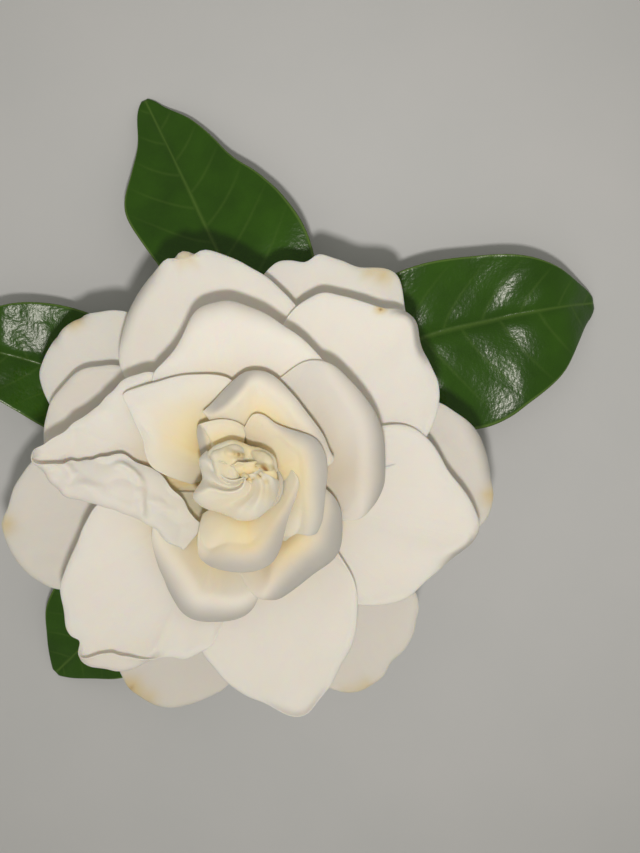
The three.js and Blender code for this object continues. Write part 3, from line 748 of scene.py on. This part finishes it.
HEART_PETALS = (
    Petal("heart_petal_hood", 4.6, (
        (135, 7.9, 70, 1.5, 1, -2.5), (149.5, 7.9, 115, 2.2, 5.6, -2), (164.3, 6.7, 122, 2.6, 6.2, -1.5),
        (177, 6.4, 124, 2.8, 6.2, -1.2), (193.5, 8, 124, 3, 6.4, -2.5), (201.8, 8.2, 124, 3, 6.8, -3),
        (216.6, 7.3, 124, 3, 6.2, -2), (235.4, 6.2, 122, 3, 5.2, -0.8), (258.5, 6.2, 122, 3, 4.8, 0),
        (274.2, 6.5, 122, 3, 4.7), (295.8, 6.9, 122, 2.9, 4.2), (318.5, 6.9, 120, 2.6, 3.2),
        (333, 6.9, 115, 2.3, 2.4), (347, 6.9, 105, 2.2, 2), (358, 6.8, 70, 2, 0.6)), gather=(1.2, 1.8),
        swirl=65, warmth=0.6, sag=0, wave=0.2, crumple=0.08, crumple_size=3.4, ribs=0.02, cells=(80, 56),
        creases=CREVICES, stains_and_shade=CREVICE_BROWNING_AND_SHADE),
    Petal("heart_petal_blade", 4.3, (
        (-44, 7, -40, 1.5), (-28, 7.6, -50), (-12, 7.8, -55), (4, 7.7), (18, 7.2, -50), (32, 6.6, -40)),
        cup=-0.5, sag=0, wave=0.3),
    Petal("heart_petal_strip", 4, (
        (82, 9.6, 0, 2, 0, -4), (94, 10.8), (106, 11.6), (116, 12, 0, 1.5), (123, 12.3, -30, 1.2),
        (126, 12.5, -70, 1.2, 0.4), (131, 11.6, -80, 1.3, 0.6), (138, 10, -80, 1.3, 0.6, -3.8),
        (148, 8.5, -80, 1.3, 0.6, -3.5), (160, 7.4, -70, 1.3, 0.3, -3.2), (172, 6.8, -40, 1.2, 0, -3)),
        claw=130, sag=0, wave=0.2, cells=(52, 30)),
)


@dataclass
class Petaloid(Petal):
    """A stamen that has turned into a small crumpled petal."""

    sag: float = 0
    wave: float = 0.4
    crumple: float = 0.25
    crumple_size: float = 2
    crisp: float = 0.6
    fray: float = 3
    warmth: float = 1.6
    creases: tuple = CREVICES
    stains_and_shade: tuple = CREVICE_BROWNING_AND_SHADE


PETALOIDS = (
    Petaloid("petaloid_1", 4.45, (
        (16, 7.2, 60, 0.8, 1), (36, 7.7, 112, 0.9, 3), (56.3, 7.2, 116), (72, 6.7, 116, 0.9, 2.4),
        (84.7, 7, 116, 0.9, 3), (100.6, 7.6, 118, 0.9, 3.4), (122.9, 7.7, 116, 0.9, 3.6),
        (140, 7.6, 70, 0.8, 2)), gather=(0.8, 0.5), cup=1, crumple_size=2.4, fray=2, cells=(56, 40)),
    Petaloid("petaloid_2", 4.85, (
        (22, 6.6, 70, 0.7, 0.6), (28, 7.1, 105, 0.8, 1.3), (36, 7.3, 116, 0.9, 1.7), (46, 7), (56, 6.5),
        (66, 5.9, 112, 0.8, 1.5), (76, 5, 80, 0.7, 0.8)), gather=(3.4, 1.6), cup=0.5, cells=(48, 34)),
    Petaloid("petaloid_3", 4.8, (
        (-24, 5.2, 90, 0.8, 4.6), (-10, 5.9, 112, 0.9, 6), (4, 6.3, 120, 0.9, 7), (16, 6.5),
        (28, 6.4, 116, 0.9, 6.4), (40, 6, 90, 0.8, 5)), gather=(-8, 3), cup=0.8, crumple=0.35,
        crumple_size=1.8, crisp=0.8, cells=(56, 44)),
    Petaloid("petaloid_4", 4.8, (
        (72, 5.2, 80, 0.7, 3), (82, 5.8, 112, 0.8, 4.4), (94, 6.25, 118, 0.8, 5.2),
        (107, 6.35, 118, 0.8, 5.8), (120, 6.45, 118, 0.8, 5.4), (132, 6.5, 112, 0.8, 4.2),
        (144, 6, 80, 0.7, 2.6)), gather=(-0.5, -6), cup=1, cells=(52, 42), warmth=1.1, painted_grey_shade=0.05),
)

# ---------------------------------------------------------------- tube, calyx and stem, in mm

TUBE_PROFILE = ((0, 14), (2.6, 14), (3.4, 18), (5.475, 23), (5.475, 24), (0.975, 35), (0, 35.5))
TUBE_RIDGE = 0.05  # a ridge's height, as a share of the tube's radius
TUBE_TWIST = 0.12  # by which the ridges' wave turns for each millimetre up
LOBES = 6  # the calyx's, and the tube's ridges
CALYX_BOTTOM = 9.3
CALYX_RIM = 16
CALYX_RADIUS = 4.1
CALYX_INSIDE = 3.35
CALYX_FLOOR = 13.65
LOBE_HEIGHT = 5.6
LOBE_SPREAD = 5.5
RIB_HEIGHT = 0.3
KEEL_HEIGHT = 0.2
STEM_RADIUS = 2.3
STEM_SKIN = 0.25  # the stem is this much thinner between its nodes
STEM_NODES = ((0.1, 0.5, 2), (0.6, 0.35, 1.2))  # share of the stem's length, swelling, half length
STEM_RINGS = 71
STEM_RIDGES = 5
STEM_RIDGE_HEIGHT = 0.06
STEM_ON_FLOOR = 0.6  # from this share on, the stem is no thicker than its height allows
STEM_SLANT = 0.9  # how far the cut's far side is ahead of its middle
SLANT_LENGTH = 1.5  # how far up the stem the rings slant with it
STEM_TURN = math.radians(30)  # how far the stem's way to the floor is turned round the flower's axis
STEM_PATH = ((0, 0, 9.3), (0, 0, 8.2), (1.6, -2.7, 4.6), (5, -8.6, 2.9), (11, -19, 2.3), (19, -33, 2.3))
STEM_LINE = spline(STEM_PATH, centripetal=True)
CAP_RINGS = (0.96, 0.6, 0.3, 0)  # radii of the rings that close an end of the stem, as shares of its own


def along_rows(outline, steps):
    """Rows of numbers stepped evenly from each row of the outline to the next."""
    outline = np.array(outline, float)
    place = np.linspace(0, len(outline) - 1, steps * (len(outline) - 1) + 1)
    low = np.minimum(place.astype(int), len(outline) - 2)
    share = (place - low).reshape(-1, *[1] * (outline.ndim - 1))
    return outline[low] * (1 - share) + outline[low + 1] * share


def full_circle(columns):
    return np.linspace(0, 2 * math.pi, columns + 1)


def revolved(radius, height, azimuth):
    return np.dstack([radius * np.cos(azimuth), radius * np.sin(azimuth), height])


def tube_mesh():
    """The corolla tube: a slim trumpet with six blunt ridges that twist a little."""
    azimuth = full_circle(96)
    profile = along_rows(TUBE_PROFILE, 4)
    radius, height = profile[:, :1], profile[:, 1:]
    ridges = 1 + TUBE_RIDGE * np.cos(LOBES * azimuth + TUBE_TWIST * height) * smooth_step(24, 20, height)
    points = revolved(radius * ridges, height + 0 * azimuth, azimuth)
    return grid_mesh(points, {"depth": 0.3, "edge": 0, "stain_and_shade": 0}, closed_round=True)


def calyx_mesh():
    """A ribbed cup whose rim runs up into six narrow keeled lobes that spread outwards."""
    azimuth = full_circle(144)
    ridge = np.abs(np.cos(LOBES / 2 * azimuth))
    lobe = ridge**7
    keel = ridge**30
    rib = RIB_HEIGHT * lobe + KEEL_HEIGHT * keel
    rise = LOBE_HEIGHT * lobe
    spread = LOBE_SPREAD * lobe
    outline = [
        (0, CALYX_BOTTOM),
        (STEM_RADIUS, CALYX_BOTTOM),
        (3.4 + rib, CALYX_BOTTOM + 2.5),
        (CALYX_RADIUS + rib, CALYX_RIM - 1),
        (CALYX_RADIUS + 0.4 + 0.45 * spread + 0.3 * keel, CALYX_RIM - 0.4 + 0.6 * rise),
        (CALYX_RADIUS + 0.4 + spread, CALYX_RIM + rise),
        (CALYX_RADIUS + 0.1 + 0.95 * spread, CALYX_RIM + 0.3 + rise),
        (CALYX_RADIUS - 0.2 + 0.4 * spread, CALYX_RIM + 0.2 + 0.6 * rise),
        (CALYX_INSIDE + 0.35, CALYX_RIM - 0.8),
        (CALYX_INSIDE, CALYX_FLOOR),
        (0, CALYX_FLOOR),
    ]
    rows = along_rows([np.broadcast_arrays(*row, azimuth)[:2] for row in outline], 3)
    points = revolved(rows[:, 0], rows[:, 1], azimuth)
    return grid_mesh(points, {"cut": 0}, closed_round=True)


def stem_mesh():
    """The young stem, bent over to lie on the floor, with a swollen node at the leaves, a second node
    half way along and a clean slanting cut."""
    across = np.array([math.cos(STEM_TURN), math.sin(STEM_TURN), 0])
    shares = np.linspace(0, 1, STEM_RINGS)
    places, tangents, length = even_steps(STEM_LINE, 3, shares)
    azimuth = full_circle(32)
    rings = []
    for place, tangent, share in zip(places, tangents, shares):
        radius = STEM_RADIUS - STEM_SKIN + STEM_RIDGE_HEIGHT * np.cos(STEM_RIDGES * azimuth + share)
        for at, swelling, half in STEM_NODES:
            radius += swelling * math.exp(-(((share - at) * length / half) ** 2))
        if share > STEM_ON_FLOOR:
            radius = np.minimum(radius, STEM_RADIUS)
        slant = STEM_SLANT * math.exp(-(1 - share) * length / SLANT_LENGTH)
        ring = np.outer(np.cos(azimuth), across) + np.outer(np.sin(azimuth), np.cross(tangent, across))
        rings.append(place + radius[:, None] * ring + slant * np.sin(azimuth)[:, None] * tangent)
    head = [places[0] + (rings[0] - places[0]) * share for share in reversed(CAP_RINGS)]
    tail = [places[-1] + (rings[-1] - places[-1]) * share for share in CAP_RINGS]
    points = np.array(head + rings + tail)
    cut = np.zeros(points.shape[:2])
    cut[-len(CAP_RINGS):] = 1
    return grid_mesh(points, {"cut": cut}, closed_round=True)


# ---------------------------------------------------------------- leaves

LEAF_ROWS = 61
LEAF_COLUMNS = 27
STALK_SHARE = 0.14  # the stalk's share of the leaf's length
STALK_HALF_WIDTH = 0.9
STALK_DEPTH = 0.3  # the stalk starts this far inside the stem
VEIN_PAIRS = 9
VEIN_SWEEP = 1.7  # how many vein spacings a side vein runs forward before it meets the margin
VEIN_OFFSET = 0.45  # by how many vein spacings the left half is ahead of the right
PILLOW_HEIGHT = 0.3  # between two side veins
GROOVE_DEPTH = 0.4  # along the midrib
GROOVE_WIDTH = 0.8
SWELL_HEIGHT = 1.6
SWELL_LENGTH = 10
PEBBLE_HEIGHT = 0.12
PEBBLE_LENGTH = 2.5
LOWEST = 0.25  # the blade stays this far above the floor


@dataclass
class Leaf:
    """node_share is where on the stem the leaf grows, as a share of the stem's length. left and right
    are the outlines of its halves, in rows of (share of the blade, distance from the midrib). fold is
    how far the left and the right half lift above the midrib, whose points follow in (x, y, z)."""

    node: str
    node_share: float
    left: tuple
    right: tuple
    fold: tuple
    midrib: tuple


LEAVES = (
    Leaf("leaf_upper_left", 0.06,
         ((0, 0), (0.15, 4.2), (0.35, 9), (0.53, 11.6), (0.66, 13.3), (0.73, 12.5), (0.8, 8.9), (0.87, 5.4),
          (0.95, 3.2), (0.985, 1.9), (1, 0.7)),
         ((0, 0), (0.12, 7), (0.25, 14), (0.4, 17.2), (0.54, 16.2), (0.63, 14), (0.71, 10.6), (0.8, 8.7),
          (0.88, 6.4), (0.95, 2.9), (0.985, 1.7), (1, 0.6)),
         (1.5, 1.5), ((-1, 12, 7.5), (-1.5, 32, 11.5), (-10, 52.5, 8.5), (-21.6, 76.5, 0.4))),
    Leaf("leaf_right", 0.08,
         ((0, 0), (0.15, 7), (0.3, 11.8), (0.47, 13.3), (0.64, 12.6), (0.76, 10.9), (0.86, 7.7),
          (0.94, 4.2), (0.98, 2.6), (1, 1)),
         ((0, 0), (0.15, 9), (0.35, 17.2), (0.56, 20.5), (0.7, 17.8), (0.81, 13.9), (0.9, 7.6), (0.95, 4.1),
          (0.985, 2.6), (1, 1)),
         (3.5, -2), ((11, 11, 7.5), (31, 26, 9.5), (49, 31.2, 8.6), (61, 33.5, 8.2), (70, 35, 0.4))),
    Leaf("leaf_left", 0.12,
         ((0, 0), (0.15, 5), (0.35, 9.8), (0.52, 10.8), (0.72, 9), (0.88, 4.8), (0.97, 2), (1, 0.7)),
         ((0, 0), (0.15, 6), (0.35, 11.4), (0.52, 13), (0.72, 10.6), (0.88, 5.4), (0.97, 2.2), (1, 0.7)),
         (1.5, 1.5), ((-10, 6, 7.5), (-24, 13.5, 6.8), (-41, 22, 7.8), (-52, 25, 9.6), (-60, 26, 0.4))),
    Leaf("leaf_lower_left", 0.1,
         ((0, 0), (0.15, 5), (0.35, 10.2), (0.55, 12.2), (0.75, 10.2), (0.88, 6), (0.96, 3), (1, 0.8)),
         ((0, 0), (0.15, 4.6), (0.35, 10), (0.58, 13), (0.78, 11), (0.9, 6.4), (0.96, 3.4), (1, 0.8)),
         (1, 1), ((-9, -10.5, 6), (-19, -20.5, 5.5), (-30, -31, 6), (-39.8, -40.4, 0.4))),
)


def leaf_mesh(leaf):
    (stem,), (stem_tangent,), _ = even_steps(STEM_LINE, 3, np.array([leaf.node_share]))
    outward = np.array(leaf.midrib[0]) - stem
    outward -= np.dot(outward, stem_tangent) * stem_tangent
    foot = stem + outward / np.linalg.norm(outward) * (STEM_RADIUS - STALK_DEPTH)

    along = np.linspace(0, 1, LEAF_ROWS)
    line, tangent, length = even_steps(spline([foot, *leaf.midrib], centripetal=True), 3, along)
    spread = np.linspace(1, -1, LEAF_COLUMNS)
    side = np.sign(spread) * np.abs(spread) ** 1.25  # closer columns towards the midrib

    along = along[:, None]
    blade = np.maximum(0, (along - STALK_SHARE) / (1 - STALK_SHARE))
    left, right = (np.interp(blade, *spline(rows).T) for rows in (leaf.left, leaf.right))
    breadth = np.where(side > 0, left, right)
    fullness = breadth / np.where(side > 0, left.max(), right.max())
    reach = side * (STALK_HALF_WIDTH * (1 - along) + breadth)
    plan = line[:, None, :2] + units(leftward(tangent))[:, None] * reach[..., None]

    seed = leaf.node_share * 100
    from_middle = np.abs(side)
    ahead = np.where(side > 0, VEIN_OFFSET, 0)
    phase = VEIN_PAIRS * blade - VEIN_SWEEP * fullness * from_middle**1.3 + ahead
    on_blade = smooth_step(0, 0.12, blade) * smooth_step(1, 0.93, blade)
    pillows = np.abs(np.sin(np.pi * phase)) ** 0.7 * (1 - from_middle**3)
    pillows *= smooth_step(0, 2.5, np.abs(reach))
    groove = np.exp(-((reach / GROOVE_WIDTH) ** 2))
    flattened = np.dstack(np.broadcast_arrays(along * length, 6 * side))
    swells = uneven(flattened, SWELL_LENGTH, seed) * from_middle**1.5
    height = line[:, 2:] + np.where(side > 0, *leaf.fold) * fullness * from_middle**1.5
    relief = PILLOW_HEIGHT * pillows - GROOVE_DEPTH * groove + SWELL_HEIGHT * swells * fullness
    height += on_blade * relief
    height += PEBBLE_HEIGHT * uneven(plan, PEBBLE_LENGTH, seed + 1) * on_blade
    height = np.maximum(height, LOWEST)
    attributes = {
        "phase": phase,
        "side": from_middle,
        "midrib": np.exp(-((reach / np.maximum(0.25, 0.6 * (1 - along))) ** 4)),
        "wall": 0.5 + 0.5 * (1 - from_middle**6),
    }
    return grid_mesh(np.dstack([plan, height]), attributes)


# ---------------------------------------------------------------- settings


def hex_colour(name, description, default):
    return bpy.props.StringProperty(name=name, description=description, default=default)


def length_setting(name, description, default, lowest):
    return bpy.props.FloatProperty(
        name=name, description=description, default=default, min=lowest, precision=5, unit="LENGTH",
        subtype="DISTANCE")


class PetalSettings(bpy.types.PropertyGroup):
    thickness: length_setting("Thickness", "Thickness of a petal's middle", 0.45 * MM, 0.1 * MM)
    white_hex: hex_colour("White", "Colour of the outer petals", "#f0ede8")
    ivory_hex: hex_colour("Ivory", "Colour half way to the heart", "#f0e8d5")
    cream_hex: hex_colour("Cream", "Colour of the inner petals", "#f7e8c0")
    straw_hex: hex_colour("Straw", "Colour of the petals' feet in the heart", "#f5dca6")
    # the rim colour is also painted as shade on lips that curl back and down and over petals that lie in
    # shade
    rim_and_shade_hex: hex_colour("Rim", "Colour of the thin margins", "#babab5")
    # the stain's yellow and brown are also painted along the heart's crevices, partly as browning and
    # partly as painted shade
    stain_and_shade_hex: hex_colour("Stain", "Colour of a bruised margin", "#d9c27a")
    brown_and_shade_hex: hex_colour("Brown", "Colour of a withered spot", "#8a5a2e")


class LeafSettings(bpy.types.PropertyGroup):
    thickness: length_setting("Thickness", "Thickness of a leaf's blade", 0.45 * MM, 0.1 * MM)
    blade_hex: hex_colour("Blade", "Lighter green of the blade", "#325a0a")
    blade_dark_hex: hex_colour("Blade, dark", "Darker green of the blade", "#274a06")
    vein_hex: hex_colour("Vein", "Colour of the midrib and the side veins", "#67843c")


class StemSettings(bpy.types.PropertyGroup):
    bark_hex: hex_colour("Bark", "Colour of the young bark", "#7d8850")
    bark_dull_hex: hex_colour("Bark, dull", "Colour of the bark's brown streaks", "#6b5f3c")
    calyx_hex: hex_colour("Calyx", "Colour of the calyx", "#7fa24a")
    calyx_dull_hex: hex_colour("Calyx, dull", "Colour between the calyx's ribs", "#5c8136")
    cut_hex: hex_colour("Cut", "Colour of the fresh cut", "#dfe3b8")


class StageSettings(bpy.types.PropertyGroup):
    floor_hex: hex_colour("Floor", "Colour of the floor", "#d0d2d4")
    floor_shade_hex: hex_colour("Floor, shaded", "Colour of the floor's clouding", "#cccfd1")
    key_power: bpy.props.FloatProperty(
        name="Key power", description="Power of the key light", default=0.094, min=0, unit="POWER")
    key_size: length_setting("Key size", "Width of the key light, which softens the shadows", 0.022, 0.005)
    fill: bpy.props.FloatProperty(
        name="Fill", description="Strength of the soft light from all round", default=0.42, min=0)
    camera_height: length_setting("Camera height", "How far above the floor the camera is", 0.325, 0.1)


SETTINGS = {
    "gardenia_petals": PetalSettings,
    "gardenia_leaves": LeafSettings,
    "gardenia_stem": StemSettings,
    "gardenia_stage": StageSettings,
}

# ---------------------------------------------------------------- operators


class GARDENIA_OT_guard_petals(bpy.types.Operator):
    """Add the six guard petals, the outermost and lowest whorl"""

    bl_idname = "gardenia.guard_petals"
    bl_label = "Guard petals"

    def execute(self, context):
        return add_petals(GUARD_PETALS, context)


class GARDENIA_OT_outer_petals(bpy.types.Operator):
    """Add the six large spreading petals"""

    bl_idname = "gardenia.outer_petals"
    bl_label = "Outer petals"

    def execute(self, context):
        return add_petals(OUTER_PETALS, context)


class GARDENIA_OT_middle_petals(bpy.types.Operator):
    """Add the five upswept petals, one with a rolled margin"""

    bl_idname = "gardenia.middle_petals"
    bl_label = "Middle petals"

    def execute(self, context):
        return add_petals(MIDDLE_PETALS, context)


class GARDENIA_OT_inner_petals(bpy.types.Operator):
    """Add the four petals that cup the heart"""

    bl_idname = "gardenia.inner_petals"
    bl_label = "Inner petals"

    def execute(self, context):
        return add_petals(INNER_PETALS, context)


class GARDENIA_OT_heart(bpy.types.Operator):
    """Add the hooded petal, the blade, the strip and the crumpled petaloids of the heart"""

    bl_idname = "gardenia.heart"
    bl_label = "Heart"

    def execute(self, context):
        return add_petals(HEART_PETALS + PETALOIDS, context)


class GARDENIA_OT_corolla_tube(bpy.types.Operator):
    """Add the tube that the petals grow from"""

    bl_idname = "gardenia.corolla_tube"
    bl_label = "Corolla tube"

    def execute(self, context):
        material = material_named("petal tissue", petal_tissue, context.scene.gardenia_petals)
        add_piece("corolla_tube", tube_mesh(), material)
        return {"FINISHED"}


class GARDENIA_OT_calyx(bpy.types.Operator):
    """Add the ribbed calyx with its six lobes"""

    bl_idname = "gardenia.calyx"
    bl_label = "Calyx"

    def execute(self, context):
        settings = context.scene.gardenia_stem
        colours = settings.calyx_hex, settings.calyx_dull_hex, settings.cut_hex
        material = material_named("fresh calyx", green_skin, *colours, 40, 0.5)
        add_piece("calyx", calyx_mesh(), material)
        return {"FINISHED"}


class GARDENIA_OT_stem(bpy.types.Operator):
    """Add the short cut stem"""

    bl_idname = "gardenia.stem"
    bl_label = "Stem"

    def execute(self, context):
        settings = context.scene.gardenia_stem
        colours = settings.bark_hex, settings.bark_dull_hex, settings.cut_hex
        material = material_named("young bark", green_skin, *colours, 24, 0.65)
        add_piece("stem", stem_mesh(), material)
        return {"FINISHED"}


class GARDENIA_OT_leaves(bpy.types.Operator):
    """Add the four leaves of the flower's own shoot"""

    bl_idname = "gardenia.leaves"
    bl_label = "Leaves"

    def execute(self, context):
        settings = context.scene.gardenia_leaves
        material = material_named("waxy leaf", waxy_leaf, settings)
        for leaf in LEAVES:
            add_piece(leaf.node, leaf_mesh(leaf), material, settings.thickness)
        return {"FINISHED"}


# the camera looks straight down from a little beyond the flower's axis
CAMERA_ASIDE = Vector((14.15, 9.81, 0)) * MM
FOCAL_LENGTH = 67.1  # mm, on a sensor 36 mm along the frame's long side
KEY_ASIDE = Vector((14, -46, 330)) * MM  # from the flower's axis
KEY_AIM = Vector((18, 40, 30)) * MM  # past the axis, so the near left gets a little less
KEY_SPREAD = math.radians(80)
FLOOR_RADIUS = 3.0  # metres
FLOOR_SIDES = 96


class GARDENIA_OT_stage(bpy.types.Operator):
    """Add the pale floor, the soft light and the camera"""

    bl_idname = "gardenia.stage"
    bl_label = "Stage"

    def execute(self, context):
        settings = context.scene.gardenia_stage
        scene = context.scene

        disc = bmesh.new()
        bmesh.ops.create_circle(disc, segments=FLOOR_SIDES, radius=FLOOR_RADIUS, cap_ends=True)
        paper = material_named("seamless paper", seamless_paper, settings)
        floor = add_object("floor", new_mesh("floor", disc, paper))

        key = bpy.data.lights.new("key light", "AREA")
        key.shape = "DISK"
        key.size = settings.key_size
        key.spread = KEY_SPREAD
        key.energy = settings.key_power
        key.color = linear("#fff8f1", alpha=False)
        lamp = add_object("key light", key)
        lamp.location = AXIS + KEY_ASIDE
        lamp.rotation_euler = (KEY_AIM - KEY_ASIDE).to_track_quat("-Z", "Y").to_euler()

        world = bpy.data.worlds.new("soft surround")
        world.use_nodes = True
        background = world.node_tree.nodes["Background"]
        background.inputs["Color"].default_value = linear("#f1ece0")
        background.inputs["Strength"].default_value = settings.fill
        scene.world = world

        lens = bpy.data.cameras.new("camera")
        lens.lens = FOCAL_LENGTH
        lens.clip_start = 0.01
        camera = add_object("camera", lens)
        camera.location = AXIS + CAMERA_ASIDE + Vector((0, 0, settings.camera_height))
        scene.camera = camera
        scene.view_settings.view_transform = "Standard"
        return {"FINISHED"}


OPERATORS = (
    GARDENIA_OT_guard_petals,
    GARDENIA_OT_outer_petals,
    GARDENIA_OT_middle_petals,
    GARDENIA_OT_inner_petals,
    GARDENIA_OT_heart,
    GARDENIA_OT_corolla_tube,
    GARDENIA_OT_calyx,
    GARDENIA_OT_stem,
    GARDENIA_OT_leaves,
    GARDENIA_OT_stage,
)


class GARDENIA_PT_panel(bpy.types.Panel):
    """Lists the gardenia's settings and the operators that build it"""

    bl_idname = "GARDENIA_PT_panel"
    bl_label = "Gardenia"
    bl_space_type = "VIEW_3D"
    bl_region_type = "UI"
    bl_category = "Gardenia"

    def draw(self, context):
        column = self.layout.column()
        for operator in OPERATORS:
            column.operator(operator.bl_idname)
        for group in SETTINGS:
            settings = getattr(context.scene, group)
            box = self.layout.box()
            for name in settings.bl_rna.properties.keys():
                if name not in ("rna_type", "name"):
                    box.prop(settings, name)


def register():
    for cls in (*SETTINGS.values(), *OPERATORS, GARDENIA_PT_panel):
        bpy.utils.register_class(cls)
    for group, cls in SETTINGS.items():
        setattr(bpy.types.Scene, group, bpy.props.PointerProperty(type=cls))


def unregister():
    for group in SETTINGS:
        delattr(bpy.types.Scene, group)
    for cls in (GARDENIA_PT_panel, *reversed(OPERATORS), *reversed(SETTINGS.values())):
        bpy.utils.unregister_class(cls)


def main():
    register()
    for operator in OPERATORS:
        category, name = operator.bl_idname.split(".")
        getattr(getattr(bpy.ops, category), name)()


if __name__ == "__main__":
    main()
